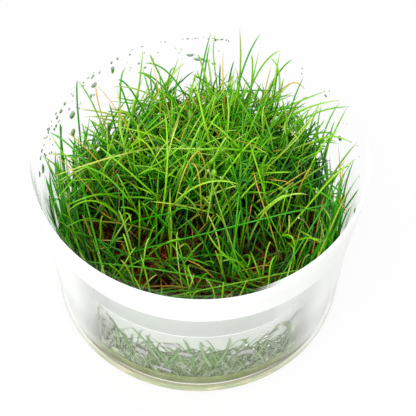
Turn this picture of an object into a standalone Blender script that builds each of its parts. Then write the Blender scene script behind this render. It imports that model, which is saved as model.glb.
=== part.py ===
"""Dwarf hairgrass from tissue culture, standing in the clear cup that it was grown in.

The cup is one moulding, turned about the Z axis. A layer of culture gel covers its floor, the
roots have grown into a mat over the gel, and plantlets stand on the mat, each a small crown with
needle leaves. Metres, +Z up, with the origin on the ground under the middle of the cup.
"""

from math import atan2, cos, pi, radians, sin, sqrt, tan
from random import Random

import bmesh
import bpy
import numpy as np
from mathutils import Matrix, Vector

# The cup
CUP_HEIGHT = 0.0600
RIM_RADIUS = 0.0450
FOOT_RADIUS = 0.0395
WALL = 0.0011
FLOOR = 0.0014
FOOT_ROUNDING = 0.0024
STAND_RING = 0.0040
FLOOR_RECESS = 0.0007
LIP_BELOW_RIM = 0.0055
LIP_STEP = 0.0005
COLLAR_BELOW_RIM = 0.0137
COLLAR_STEP = 0.0007
RIDGE_BELOW_RIM = 0.0245
RIDGE_STEP = 0.0005
CUP_SIDES = 44
ROUNDING_POINTS = 3

# What has grown in it
GAP = 0.0003
GEL_DEPTH = 0.0062
MENISCUS_RISE = 0.0008
MENISCUS_WIDTH = 0.0030
MAT_THICKNESS = 0.0090
MAT_WALL_GAP = 0.0006
MAT_EDGE_DROP = 0.0022
MAT_EDGE_POWER = 6
MAT_SWELL = 0.0007
MAT_SWELL_LENGTH = 0.0280
MAT_SWELL_PHASES = (0.6, -0.4, 1.9)
MAT_SLANTED_SWELL = 0.5
MAT_SLANTED_WAVES = (0.7, 0.8)
MAT_RINGS = 7
MAT_SIDES = 36

# The plantlets
PLANTLETS = 36
PLANTED_INSET = 0.0045
CROWN_RADIUS = 0.0013
CROWN_SEAT_GAP = 0.00045
LEAVES_PER_PLANTLET = 6
LONG_LEAVES_PER_PLANTLET = 2
LEAF_RADIUS = 0.00036
SHEATH_LENGTH = 0.0012
LEAF_CLEARANCE = 0.0003
OWN_LEAF_CLEARANCE = LEAF_CLEARANCE / 3
LEAF_WALL_CLEARANCE = 2 * GAP
LEAF_STATIONS = (0.0, 0.28, 0.56, 0.82, 1.0)
LEAF_TAPER = (1.0, 0.97, 0.88, 0.66)
CANOPY_BELOW_RIM = 0.0105
CANOPY_SLOPE = 0.38
CANOPY_UNEVEN = (0.60, 1.10)
LEAN_OF_MIDDLE = (3, 16)
LEAN_OF_OUTER = (10, 42)
BEARING_SPREAD = 30
BOW = (0.50, 1.15, 0.62)
BOW_REACH = 0.7
BOW_PULL = 0.4
SWAY = 0.25
GROWING_FACES = 0.2
UPRIGHT_FACES = 0.9
FOOT_SHARE = 0.62
DRY_FOOT_SHARES = (-0.3, 0.2)
DRY_FOOT_SCATTER = 0.0040
TRIES_PER_LEAF = 40
TRIES_PER_DRY_LEAF = 160
SEED = 11

# The free spaces under the rim, at the back left where the bare wall shows and over the low leaves at
# the front: bearing in degrees, and millimetres in from the wall, wide along X and Y, and below the rim
HEADSPACES = (
    (131, 5.8, 6.2, 6.2, 7.5),
    (-90, 18.15, 47.2, 18.6, 12.6),
)
HEADSPACE_STEPS = 5

# Where the leaves that stand out end: bearing in degrees, and millimetres in from the wall and over the rim
LONG_LEAF_TIPS = (
    (75, 6.7, 8.0),
    (66, 5.7, 7.0),
    (87, 5.8, 3.5),
    (58, 8.4, 0.0),
    (57, 5.8, 3.0),
    (51, 5.2, 2.0),
    (27, 2.4, -1.5),
    (22, 1.6, 0.5),
    (20, 4.3, -7.0),
    (7, 1.9, -0.5),
    (3, 2.4, -4.0),
    (114, 8.9, -1.0),
    (119, 10.4, -2.0),
    (125, 10.6, -4.0),
    (130, 7.4, -9.5),
    (145, 2.4, -1.0),
    (162, 4.5, -6.5),
    (185, 1.6, 2.5),
    (171, 3.4, -2.0),
)
DRY_LEAF_TIPS = (
    (139, 4.7, -4.5),
    (81, 9.5, 0.0),
    (43, 4.5, -9.0),
    (163, 5.0, -7.0),
    (176, 3.2, -4.0),
    (100, 38.0, -6.0),
    (12, 13.5, -15.0),
    (-158, 10.5, -30.0),
)


def wall_steps():
    """The heights at which the cup wall widens, with how far it widens at each."""
    return (
        (CUP_HEIGHT - RIDGE_BELOW_RIM, RIDGE_STEP),
        (CUP_HEIGHT - COLLAR_BELOW_RIM, COLLAR_STEP),
        (CUP_HEIGHT - LIP_BELOW_RIM, LIP_STEP),
    )


def outer_radius(height):
    """Radius of the cup's outside at a height, with its taper and the steps passed below it."""
    widest = sum(step for _, step in wall_steps())
    taper = (RIM_RADIUS - FOOT_RADIUS - widest) / (CUP_HEIGHT - WALL / 2)
    return FOOT_RADIUS + taper * height + sum(step for level, step in wall_steps() if height > level)


def inner_radius(height):
    """Radius of the cup's inside at a height."""
    return outer_radius(height - WALL / 2) - WALL


def arc(centre, radius, start, end, points):
    """Points on an arc in the X-Z plane, with angles in degrees from +X."""
    angles = [radians(start + (end - start) * i / (points - 1)) for i in range(points)]
    return [(centre[0] + radius * cos(a), centre[1] + radius * sin(a)) for a in angles]


def cup_profile():
    """The cup's section: out along the inner floor, up the inside, over the lip and down the outside."""
    inside = []
    outside = []
    for level, step in wall_steps():
        ledge = level + WALL / 2
        inside += [(inner_radius(ledge - step), ledge - step), (inner_radius(ledge - step) + step, ledge)]
        outside += [(outer_radius(level - step), level - step), (outer_radius(level - step) + step, level)]
    lip = CUP_HEIGHT - WALL / 2
    foot = outer_radius(FOOT_ROUNDING)
    inner_corner = max(FOOT_ROUNDING - WALL / 2, WALL)
    floor_edge = inner_radius(FLOOR + inner_corner)
    ring_edge = foot - FOOT_ROUNDING - STAND_RING
    return (
        [(0.0, FLOOR)]
        + arc((floor_edge - inner_corner, FLOOR + inner_corner), inner_corner, -90, 0, ROUNDING_POINTS)
        + inside
        + arc((RIM_RADIUS - WALL / 2, lip), WALL / 2, 180, 0, ROUNDING_POINTS + 2)
        + outside[::-1]
        + arc((foot - FOOT_ROUNDING, FOOT_ROUNDING), FOOT_ROUNDING, 0, -90, ROUNDING_POINTS)
        + [(ring_edge, 0.0), (ring_edge - FLOOR_RECESS, FLOOR_RECESS), (0.0, FLOOR_RECESS)]
    )


def mat_radius(height):
    """Radius of the root mat at a height, a little inside the wall."""
    return inner_radius(height) - MAT_WALL_GAP


def mat_bottom():
    """Height of the mat's underside, just over the gel."""
    return FLOOR + GAP + GEL_DEPTH + GAP


def mat_height(x, y):
    """Height of the mat's top, which swells gently and sinks towards the wall."""
    wave = 2 * pi / MAT_SWELL_LENGTH
    across, along, slanted = MAT_SWELL_PHASES
    swell = sin(wave * x + across) * cos(wave * y + along)
    slant = wave * (MAT_SLANTED_WAVES[0] * x + MAT_SLANTED_WAVES[1] * y)
    swell += MAT_SLANTED_SWELL * sin(slant + slanted)
    level = mat_bottom() + MAT_THICKNESS
    out = sqrt(x * x + y * y) / mat_radius(level)
    return level + MAT_SWELL * swell - MAT_EDGE_DROP * out**MAT_EDGE_POWER


def point_at(bearing, inset, over_rim):
    """The point that a bearing, an inset from the wall and a height over the rim give."""
    radius = inner_radius(CUP_HEIGHT) - inset / 1000
    angle = radians(bearing)
    return Vector((radius * cos(angle), radius * sin(angle), CUP_HEIGHT + over_rim / 1000))


def headspaces():
    """The lowest and the highest corner of each free space under the rim."""
    for bearing, inset, across, along, below in HEADSPACES:
        middle = point_at(bearing, inset, 0)
        half = Vector((across, along, 0)) / 2000
        yield middle - half - Vector((0, 0, below / 1000)), middle + half


def canopy_height(y):
    """Height that most leaves reach, lower at the front of the cup than at the back."""
    return CUP_HEIGHT - CANOPY_BELOW_RIM + CANOPY_SLOPE * y


def plantlet_places():
    """Where the plantlets stand, spread evenly over the mat on a spiral."""
    reach = mat_radius(mat_bottom() + MAT_THICKNESS) - PLANTED_INSET
    turn = pi * (3 - sqrt(5))
    for i in range(PLANTLETS):
        radius = reach * sqrt((i + 0.5) / PLANTLETS)
        yield radius * cos(turn * i), radius * sin(turn * i)


def seat(x, y, radius):
    """Lowest height at which something of this radius clears the mat."""
    around = [radians(60 * i) for i in range(6)]
    return max(mat_height(x + radius * cos(a), y + radius * sin(a)) for a in around) + CROWN_SEAT_GAP


def bowed(start, control, end, stations):
    """Points on a leaf's centre line, a bow that leaves its base towards the control point."""
    return [start * (1 - t) ** 2 + control * (2 * t * (1 - t)) + end * t**2 for t in stations]


def nearest_gap(first, second):
    """Shortest distance between each segment of one centre line and each of a set of segments."""
    a0, a1 = first[:-1, None], first[1:, None]
    b0, b1 = second[None, :, 0], second[None, :, 1]
    u, v, w = a1 - a0, b1 - b0, a0 - b0
    uu, uv, vv = (u * u).sum(-1), (u * v).sum(-1), (v * v).sum(-1)
    uw, vw = (u * w).sum(-1), (v * w).sum(-1)
    s = np.clip((uv * vw - vv * uw) / np.maximum(uu * vv - uv * uv, 1e-18), 0, 1)
    t = np.clip((uv * s + vw) / np.maximum(vv, 1e-18), 0, 1)
    s = np.clip((uv * t - uw) / np.maximum(uu, 1e-18), 0, 1)
    return np.sqrt((((w + s[..., None] * u) - t[..., None] * v) ** 2).sum(-1)).min()


class Thicket:
    """Keeps the leaves that stand so far, so that a new one grows between them."""

    def __init__(self, crowns):
        self.crowns = np.array([tuple(crown) for crown in crowns])
        self.segments = np.zeros((0, 2, 3))
        self.owners = np.zeros(0, int)
        self.headspaces = list(headspaces())

    def inside_cup(self, points):
        """True where a leaf clears the wall, the space straight above it and the mat."""
        for x, y, z in points:
            room = inner_radius(min(z, CUP_HEIGHT)) - LEAF_RADIUS - LEAF_WALL_CLEARANCE
            if sqrt(x * x + y * y) > room:
                return False
            if z < mat_height(x, y) + LEAF_RADIUS + CROWN_SEAT_GAP:
                return False
        return True

    def clear_of_headspaces(self, points):
        """True where a leaf stays out of the free spaces under the rim, and out of the way into them."""
        margin = LEAF_RADIUS + GAP
        for a, b in zip(points[:-1], points[1:]):
            for step in range(HEADSPACE_STEPS + 1):
                x, y, z = a + (b - a) * (step / HEADSPACE_STEPS)
                for low, high in self.headspaces:
                    across = low.x - margin < x < high.x + margin
                    along = low.y - margin < y < high.y + margin
                    if across and along and z > low.z - margin:
                        return False
        return True

    def has_room(self, points, owner):
        """True where a leaf touches no crown but its own and no other leaf."""
        if not (self.inside_cup(points) and self.clear_of_headspaces(points)):
            return False
        line = np.array([tuple(point) for point in points])
        others = np.arange(len(self.crowns)) != owner
        crowns = self.crowns[others]
        if nearest_gap(line, np.stack([crowns, crowns], 1)) < CROWN_RADIUS + LEAF_RADIUS + LEAF_CLEARANCE:
            return False
        if not len(self.segments):
            return True
        own = self.owners == owner
        apart = 2 * LEAF_RADIUS + LEAF_CLEARANCE
        if (~own).any() and nearest_gap(line, self.segments[~own]) < apart:
            return False
        own_apart = 2 * LEAF_RADIUS + OWN_LEAF_CLEARANCE
        return not own.any() or nearest_gap(line[1:], self.segments[own]) > own_apart

    def add(self, points, owner):
        """Remembers a leaf's centre line, from the end of its sheath on."""
        line = np.array([tuple(point) for point in points])
        self.segments = np.concatenate([self.segments, np.stack([line[:-1], line[1:]], 1)])
        self.owners = np.concatenate([self.owners, np.full(len(line) - 1, owner)])


def leaf_line(base, tip, bow, sway):
    """A leaf's centre line, which leaves its base steeply and bows over to its tip.

    A bow of 0.5 is straight, and one over 1 droops at the tip. The sway swings the leaf sideways.
    """
    flat = Vector((tip.x - base.x, tip.y - base.y, 0))
    control = base + flat * (BOW_REACH - BOW_PULL * bow) + Vector((0, 0, (tip.z - base.z) * bow))
    control += flat.cross(Vector((0, 0, 1))) * sway
    return bowed(base, control, tip, LEAF_STATIONS)


def ring_round(mesh, face, centre, direction, radius):
    """Moves a small face's corners to a ring of this radius round a point, square to a direction."""
    middle = face.calc_center_median()
    for corner in face.verts:
        out = corner.co - middle
        out -= out.project(direction)
        corner.co = centre + out.normalized() * radius


def grow_leaf(mesh, face, line):
    """Extrudes a face along a leaf's centre line, narrowing, and closes it in a point."""
    for i, share in enumerate(LEAF_TAPER):
        face = bmesh.ops.extrude_discrete_faces(mesh, faces=[face])["faces"][0]
        direction = (line[i + 1] - line[max(i - 1, 0)]).normalized()
        ring_round(mesh, face, line[i], direction, LEAF_RADIUS * share)
    face = bmesh.ops.extrude_discrete_faces(mesh, faces=[face])["faces"][0]
    bmesh.ops.pointmerge(mesh, verts=face.verts, merge_co=line[-1])


def crown_mesh(centre, yaw):
    """A crown: a small twenty-sided bulb with one face up, and that and the leaning faces round it."""
    mesh = bmesh.new()
    bmesh.ops.create_icosphere(mesh, subdivisions=1, radius=CROWN_RADIUS)
    mesh.faces.ensure_lookup_table()
    upright = mesh.faces[0].normal.rotation_difference(Vector((0, 0, 1))).to_matrix()
    bmesh.ops.transform(
        mesh,
        matrix=Matrix.Translation(centre) @ (Matrix.Rotation(yaw, 3, "Z") @ upright).to_4x4(),
        verts=mesh.verts,
    )
    mesh.normal_update()
    growing = [face for face in mesh.faces if face.normal.z > GROWING_FACES]
    return mesh, sorted(growing, key=lambda face: -face.normal.z)


def own_tip(face, base, rng):
    """A tip for an ordinary leaf: it leans the way its face of the crown looks, and ends below the rim."""
    lean = radians(rng.uniform(*(LEAN_OF_MIDDLE if face.normal.z > UPRIGHT_FACES else LEAN_OF_OUTER)))
    bearing = atan2(face.normal.y, face.normal.x) + radians(rng.uniform(-BEARING_SPREAD, BEARING_SPREAD))
    rise = (canopy_height(base.y) - base.z) * rng.uniform(*CANOPY_UNEVEN)
    rise = min(rise, CUP_HEIGHT - base.z)
    reach = rise * tan(lean)
    return base + Vector((reach * cos(bearing), reach * sin(bearing), rise))


def sheath_end(face):
    """Where a leaf comes clear of the crown."""
    return face.calc_center_median() + face.normal * SHEATH_LENGTH


def plantlet(number, centre, long_tips, thicket, rng):
    """One plantlet: its long leaves first, then as many ordinary ones as find room."""
    mesh, faces = crown_mesh(centre, rng.uniform(0, 2 * pi))
    grown = 0
    for tip in long_tips:
        away = (tip - centre).normalized()
        face = max(faces, key=lambda candidate: candidate.normal.dot(away))
        line = leaf_with_room(face, tip, number, thicket, rng)
        if line:
            faces.remove(face)
            grow_leaf(mesh, face, line)
            grown += 1
    for face in faces:
        line = leaf_with_room(face, None, number, thicket, rng) if grown < LEAVES_PER_PLANTLET else None
        if line:
            grow_leaf(mesh, face, line)
            grown += 1
    return mesh_object(f"tuft_{number + 1:02d}", mesh, "leaf_green")


def leaf_with_room(face, tip, number, thicket, rng):
    """A centre line for a leaf on this face of the crown, or None where a few tries find no room."""
    base = sheath_end(face)
    for _ in range(TRIES_PER_LEAF):
        end = tip or own_tip(face, base, rng)
        line = leaf_line(base, end, rng.triangular(*BOW), rng.uniform(-SWAY, SWAY))
        if thicket.has_room(line, number):
            thicket.add(line, number)
            return line
    return None


def dry_leaf(number, tip, thicket, rng):
    """A single dead leaf that stands on the mat by its own foot, bent over to its tip."""
    owner = PLANTLETS + number
    for _ in range(TRIES_PER_DRY_LEAF):
        share = FOOT_SHARE + rng.uniform(*DRY_FOOT_SHARES)
        x = tip.x * share + rng.uniform(-DRY_FOOT_SCATTER, DRY_FOOT_SCATTER)
        y = tip.y * share + rng.uniform(-DRY_FOOT_SCATTER, DRY_FOOT_SCATTER)
        base = Vector((x, y, seat(x, y, LEAF_RADIUS) + LEAF_RADIUS))
        line = leaf_line(base, tip, rng.triangular(*BOW), rng.uniform(-SWAY, SWAY))
        if thicket.has_room(line, owner):
            thicket.add(line, owner)
            mesh = bmesh.new()
            bmesh.ops.create_cone(
                mesh,
                cap_ends=True,
                segments=3,
                radius1=LEAF_RADIUS * 2,
                radius2=LEAF_RADIUS,
                depth=LEAF_RADIUS,
                matrix=Matrix.Translation(line[0] - Vector((0, 0, LEAF_RADIUS / 2))),
            )
            top = max(mesh.faces, key=lambda face: face.calc_center_median().z)
            grow_leaf(mesh, top, [line[0] + Vector((0, 0, SHEATH_LENGTH / 3))] + line[1:])
            return mesh_object(f"dry_leaf_{number + 1}", mesh, "leaf_dry")
    return None


FINISHES = {
    "cup_clear": dict(color=(0.93, 0.95, 0.94), roughness=0.12, transmission=0.6),
    "gel_clear": dict(color=(0.78, 0.80, 0.52), roughness=0.15, transmission=0.7),
    "root_brown": dict(color=(0.09, 0.045, 0.018), roughness=0.85, transmission=0.0),
    "leaf_green": dict(color=(0.09, 0.30, 0.015), roughness=0.45, transmission=0.0),
    "leaf_dry": dict(color=(0.55, 0.27, 0.06), roughness=0.65, transmission=0.0),
}


def finish(name):
    """The material of this name, made once."""
    if name in bpy.data.materials:
        return bpy.data.materials[name]
    values = FINISHES[name]
    material = bpy.data.materials.new(name)
    material.use_nodes = True
    material.diffuse_color = (*values["color"], 1)
    shader = material.node_tree.nodes["Principled BSDF"]
    shader.inputs["Base Color"].default_value = (*values["color"], 1)
    shader.inputs["Roughness"].default_value = values["roughness"]
    shader.inputs["Metallic"].default_value = 0.0
    shader.inputs["Transmission Weight"].default_value = values["transmission"]
    return material


def mesh_object(name, mesh, finish_name):
    """Puts a bmesh in the scene as an object in the part's collection."""
    bmesh.ops.recalc_face_normals(mesh, faces=mesh.faces)
    data = bpy.data.meshes.new(name)
    mesh.to_mesh(data)
    mesh.free()
    data.materials.append(finish(finish_name))
    item = bpy.data.objects.new(name, data)
    bpy.data.collections["dwarf_hairgrass_cup"].objects.link(item)
    return item


def turned(name, profile, sides, finish_name):
    """A solid turned about the Z axis from a profile in the X-Z plane, with a Screw modifier."""
    mesh = bmesh.new()
    corners = [mesh.verts.new((x, 0, z)) for x, z in profile]
    for a, b in zip(corners[:-1], corners[1:]):
        mesh.edges.new((a, b))
    item = mesh_object(name, mesh, finish_name)
    screw = item.modifiers.new("turn", "SCREW")
    screw.axis = "Z"
    screw.steps = sides
    screw.render_steps = sides
    screw.use_merge_vertices = True
    screw.merge_threshold = 0.00001
    screw.use_smooth_shade = True
    return item


def culture_gel():
    """The gel on the cup's floor, with a meniscus where it meets the wall."""
    bottom = FLOOR + GAP
    top = bottom + GEL_DEPTH
    edge = top + MENISCUS_RISE - GAP
    corner = FOOT_ROUNDING + GAP
    profile = [
        (0.0, top - MENISCUS_RISE),
        (inner_radius(top) - GAP - MENISCUS_WIDTH, top - MENISCUS_RISE),
        (inner_radius(top) - GAP - MENISCUS_WIDTH / 3, top - MENISCUS_RISE / 2),
        (inner_radius(edge) - GAP, top),
        (inner_radius(bottom + corner) - GAP, bottom + corner),
        (inner_radius(bottom + corner) - GAP - corner / 3, bottom + corner / 3),
        (inner_radius(bottom) - GAP - corner, bottom),
        (0.0, bottom),
    ]
    return turned("culture_gel", profile, MAT_SIDES, "gel_clear")


def root_mat():
    """The matted roots over the gel: a turned disc whose top is then raised into swells."""
    level = mat_bottom() + MAT_THICKNESS
    edge = level - MAT_EDGE_DROP
    top = [(mat_radius(edge) * i / MAT_RINGS, level) for i in range(MAT_RINGS + 1)]
    under = [(mat_radius(mat_bottom()), mat_bottom()), (0.0, mat_bottom())]
    disc = turned("root_mat_disc", top + under, MAT_SIDES, "root_brown")
    graph = bpy.context.evaluated_depsgraph_get()
    mesh = bmesh.new()
    mesh.from_mesh(disc.evaluated_get(graph).to_mesh())
    bpy.data.objects.remove(disc)
    bmesh.ops.remove_doubles(mesh, verts=mesh.verts, dist=0.00001)
    for corner in mesh.verts:
        if corner.co.z > mat_bottom() + MAT_THICKNESS / 2:
            corner.co.z = mat_height(corner.co.x, corner.co.y)
    return mesh_object("root_mat", mesh, "root_brown")


def clear_scene():
    """Empties the scene and makes the part's collection."""
    for item in list(bpy.data.objects):
        bpy.data.objects.remove(item)
    parts = bpy.data.collections.new("dwarf_hairgrass_cup")
    bpy.context.scene.collection.children.link(parts)


def shade(item):
    """Smooth shading, with the steps and corners kept sharp."""
    item.data.shade_smooth()
    item.data.set_sharp_from_angle(angle=radians(50))


def build():
    """Makes the cup and what has grown in it."""
    clear_scene()
    rng = Random(SEED)
    turned("cup", cup_profile(), CUP_SIDES, "cup_clear")
    culture_gel()
    root_mat()
    places = list(plantlet_places())
    crowns = [Vector((x, y, seat(x, y, CROWN_RADIUS / 2) + CROWN_RADIUS)) for x, y in places]
    thicket = Thicket(crowns)
    long_tips = {number: [] for number in range(PLANTLETS)}
    for values in LONG_LEAF_TIPS:
        tip = point_at(*values)
        free = [n for n in range(PLANTLETS) if len(long_tips[n]) < LONG_LEAVES_PER_PLANTLET]
        foot = Vector((tip.x * FOOT_SHARE, tip.y * FOOT_SHARE, crowns[0].z))
        long_tips[min(free, key=lambda n: (crowns[n] - foot).length)].append(tip)
    order = sorted(range(PLANTLETS), key=lambda n: -len(long_tips[n]))
    dry = [dry_leaf(i, point_at(*values), thicket, rng) for i, values in enumerate(DRY_LEAF_TIPS)]
    tufts = [plantlet(n, crowns[n], long_tips[n], thicket, rng) for n in order]
    for item in tufts + [leaf for leaf in dry if leaf]:
        shade(item)


build()
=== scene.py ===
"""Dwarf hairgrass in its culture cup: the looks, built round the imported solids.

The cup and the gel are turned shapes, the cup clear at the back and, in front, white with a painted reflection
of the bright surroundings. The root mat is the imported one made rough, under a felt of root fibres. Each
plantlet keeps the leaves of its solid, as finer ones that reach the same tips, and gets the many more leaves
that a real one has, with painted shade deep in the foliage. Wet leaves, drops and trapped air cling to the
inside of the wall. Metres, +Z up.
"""

import logging
import math
import random
from collections.abc import Callable, Iterator
from contextlib import contextmanager
from dataclasses import dataclass
from enum import Enum

import bmesh
import bpy
import numpy as np
from mathutils import Matrix, Vector
from mathutils.bvhtree import BVHTree


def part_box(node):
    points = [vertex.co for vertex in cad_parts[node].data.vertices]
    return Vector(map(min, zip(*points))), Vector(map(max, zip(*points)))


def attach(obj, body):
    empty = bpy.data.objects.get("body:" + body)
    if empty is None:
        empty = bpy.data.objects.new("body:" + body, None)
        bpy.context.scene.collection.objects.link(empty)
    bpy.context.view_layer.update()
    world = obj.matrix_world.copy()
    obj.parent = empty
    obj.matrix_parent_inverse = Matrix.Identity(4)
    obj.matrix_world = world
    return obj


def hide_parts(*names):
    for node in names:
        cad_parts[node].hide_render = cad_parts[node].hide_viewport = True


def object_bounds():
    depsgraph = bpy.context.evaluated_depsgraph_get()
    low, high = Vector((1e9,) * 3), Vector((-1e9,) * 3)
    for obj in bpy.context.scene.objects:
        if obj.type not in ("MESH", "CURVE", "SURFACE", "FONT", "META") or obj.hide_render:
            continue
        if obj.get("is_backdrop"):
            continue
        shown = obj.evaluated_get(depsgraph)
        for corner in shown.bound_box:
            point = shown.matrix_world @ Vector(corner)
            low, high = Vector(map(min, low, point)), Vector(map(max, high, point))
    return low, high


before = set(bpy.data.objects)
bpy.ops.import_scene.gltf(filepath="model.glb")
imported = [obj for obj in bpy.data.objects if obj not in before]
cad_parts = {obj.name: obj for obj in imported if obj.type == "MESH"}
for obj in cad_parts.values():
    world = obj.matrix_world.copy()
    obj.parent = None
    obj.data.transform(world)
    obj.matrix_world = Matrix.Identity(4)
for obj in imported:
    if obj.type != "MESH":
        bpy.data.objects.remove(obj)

LOG = logging.getLogger("dwarf_hairgrass")
MM = 0.001
BODY = "root"
Range = tuple[float, float]
Colour = tuple[float, float, float]
Profile = list[tuple[float, float]]
Bow = tuple[Vector, Vector, Vector]
WHITE, BLACK = (1.0, 1.0, 1.0), (0.0, 0.0, 0.0)
EVERYWHERE: Range = (-2.0, -1.0)
NOWHERE: Range = (2.0, 3.0)
Socket = bpy.types.NodeSocket


class Slot(Enum):
    """The record's material slots."""

    CUP = "cup_clear"
    GEL = "gel_clear"
    ROOT = "root_brown"
    GREEN = "leaf_green"
    DRY = "leaf_dry"


class Wall(Enum):
    """The cup's finishes."""

    CLEAR = 0
    MILKY = 1
    FOOT = 2
    COLLAR = 3
    SIDE = 4
    LIP = 5


def srgb(*screen: float) -> Colour:
    """A colour in linear values, from the red, green and blue that a screen shows, 0 to 255."""
    shares = [value / 255 for value in screen]
    return tuple(share / 12.92 if share <= 0.04045 else ((share + 0.055) / 1.055) ** 2.4 for share in shares)


def grey(share: float) -> Colour:
    """A grey, for a ramp that is read as a number."""
    return (share,) * 3


# Materials


class Shader:
    """A material's node tree, with short ways to add and link its nodes."""

    def __init__(self, name: str) -> None:
        """Makes an empty material with a Principled shader."""
        self.material = bpy.data.materials.new(name)
        self.material.use_nodes = True
        self.tree = self.material.node_tree
        self.principled = self.tree.nodes["Principled BSDF"]

    def put(self, **values: float | tuple) -> None:
        """Sets constant values on the Principled shader, named with underscores for spaces."""
        for name, value in values.items():
            self.principled.inputs[name.replace("_", " ")].default_value = value

    def node(self, kind: str, inputs: dict | None = None, **settings: object) -> bpy.types.Node:
        """Adds a node.

        Args:
            kind: The node's class, without its ShaderNode prefix.
            inputs: Values or sockets for its inputs, by name or number.
            settings: The node's own settings.

        Returns:
            The new node.
        """
        node = self.tree.nodes.new("ShaderNode" + kind)
        for name, value in settings.items():
            setattr(node, name, value)
        for name, value in (inputs or {}).items():
            if isinstance(value, Socket):
                self.tree.links.new(value, node.inputs[name])
            else:
                node.inputs[name].default_value = value
        return node

    def link(self, socket: Socket, name: str) -> None:
        """Links a socket to an input of the Principled shader."""
        self.tree.links.new(socket, self.principled.inputs[name])

    def objectwise(self) -> Socket:
        """The point's place on the object, in metres."""
        return self.node("TexCoord").outputs["Object"]

    def place(self) -> tuple[Socket, Socket, Socket]:
        """The point's place on the object, as X, Y and Z."""
        return tuple(self.node("SeparateXYZ", {0: self.objectwise()}).outputs)

    def attribute(self, name: str) -> Socket:
        """A number that the mesh stores at each point."""
        return self.node("Attribute", attribute_name=name).outputs["Fac"]

    def noise(self, scale: float, detail: float, vector: Socket | None = None) -> Socket:
        """Cloudy noise from 0 to 1.

        Args:
            scale: How many clouds there are in a metre.
            detail: How many finer layers it has.
            vector: Where to read it, or the object's own place.

        Returns:
            The noise's value.
        """
        inputs = {"Vector": vector or self.objectwise(), "Scale": scale, "Detail": detail}
        return self.node("TexNoise", inputs).outputs["Fac"]

    def ramp(self, value: Socket, *stops: tuple[float, Colour]) -> Socket:
        """A colour that runs through stops as a value goes from 0 to 1."""
        node = self.node("ValToRGB", {"Fac": value})
        elements = node.color_ramp.elements
        while len(elements) < len(stops):
            elements.new(0.5)
        for element, (place, colour) in zip(elements, stops):
            element.position = place
            element.color = (*colour, 1)
        return node.outputs["Color"]

    def mix(self, share: object, first: object, second: object, blend: str = "MIX") -> Socket:
        """Two colours mixed.

        Args:
            share: How much of the second, a number or a socket.
            first: A colour or a socket.
            second: A colour or a socket.
            blend: The way they are mixed.

        Returns:
            The mixed colour.
        """
        colours = [(*c, 1) if isinstance(c, tuple) else c for c in (first, second)]
        inputs = {0: share, 6: colours[0], 7: colours[1]}
        return self.node("Mix", inputs, data_type="RGBA", blend_type=blend).outputs[2]

    def maths(self, operation: str, *values: object) -> Socket:
        """A sum or other step of arithmetic on numbers or sockets."""
        return self.node("Math", dict(enumerate(values)), operation=operation).outputs[0]

    def times(self, first: object, second: object) -> Socket:
        """The product of two numbers or sockets."""
        return self.maths("MULTIPLY", first, second)

    def step(self, value: Socket, start: float, end: float) -> Socket:
        """A value that goes smoothly from 0 to 1 as another goes from start to end."""
        inputs = {"Value": value, "From Min": start, "From Max": end}
        return self.node("MapRange", inputs, interpolation_type="SMOOTHSTEP").outputs["Result"]

    def bump(self, height: Socket, depth: float, strength: float = 1.0) -> None:
        """Gives the surface relief of a depth in metres."""
        node = self.node("Bump", {"Height": height, "Distance": depth, "Strength": strength})
        self.link(node.outputs["Normal"], "Normal")


@dataclass(frozen=True)
class ClearPlastic:
    """Thin moulded plastic that shows what is behind it straight, from clear to milky; the milky one on the
    ridge's step is a painted highlight.
    """

    name: str
    haze: float
    edge_haze: float
    colour: Colour = (0.97, 0.98, 0.975)
    edge_blend: float = 0.35
    ripples: float = 220.0
    ripple_depth: float = 0.02 * MM

    def material(self) -> bpy.types.Material:
        """Makes the material, which mirrors and veils more where it is seen edge on."""
        shader = Shader(self.name)
        edge = shader.node("LayerWeight", {"Blend": self.edge_blend}).outputs["Fresnel"]
        shader.link(shader.maths("MULTIPLY_ADD", edge, self.edge_haze, self.haze), "Alpha")
        shader.put(Base_Color=(*self.colour, 1), Roughness=0.05, IOR=1.49)
        shader.bump(shader.noise(self.ripples, 2), self.ripple_depth, 0.5)
        return shader.material


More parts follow.
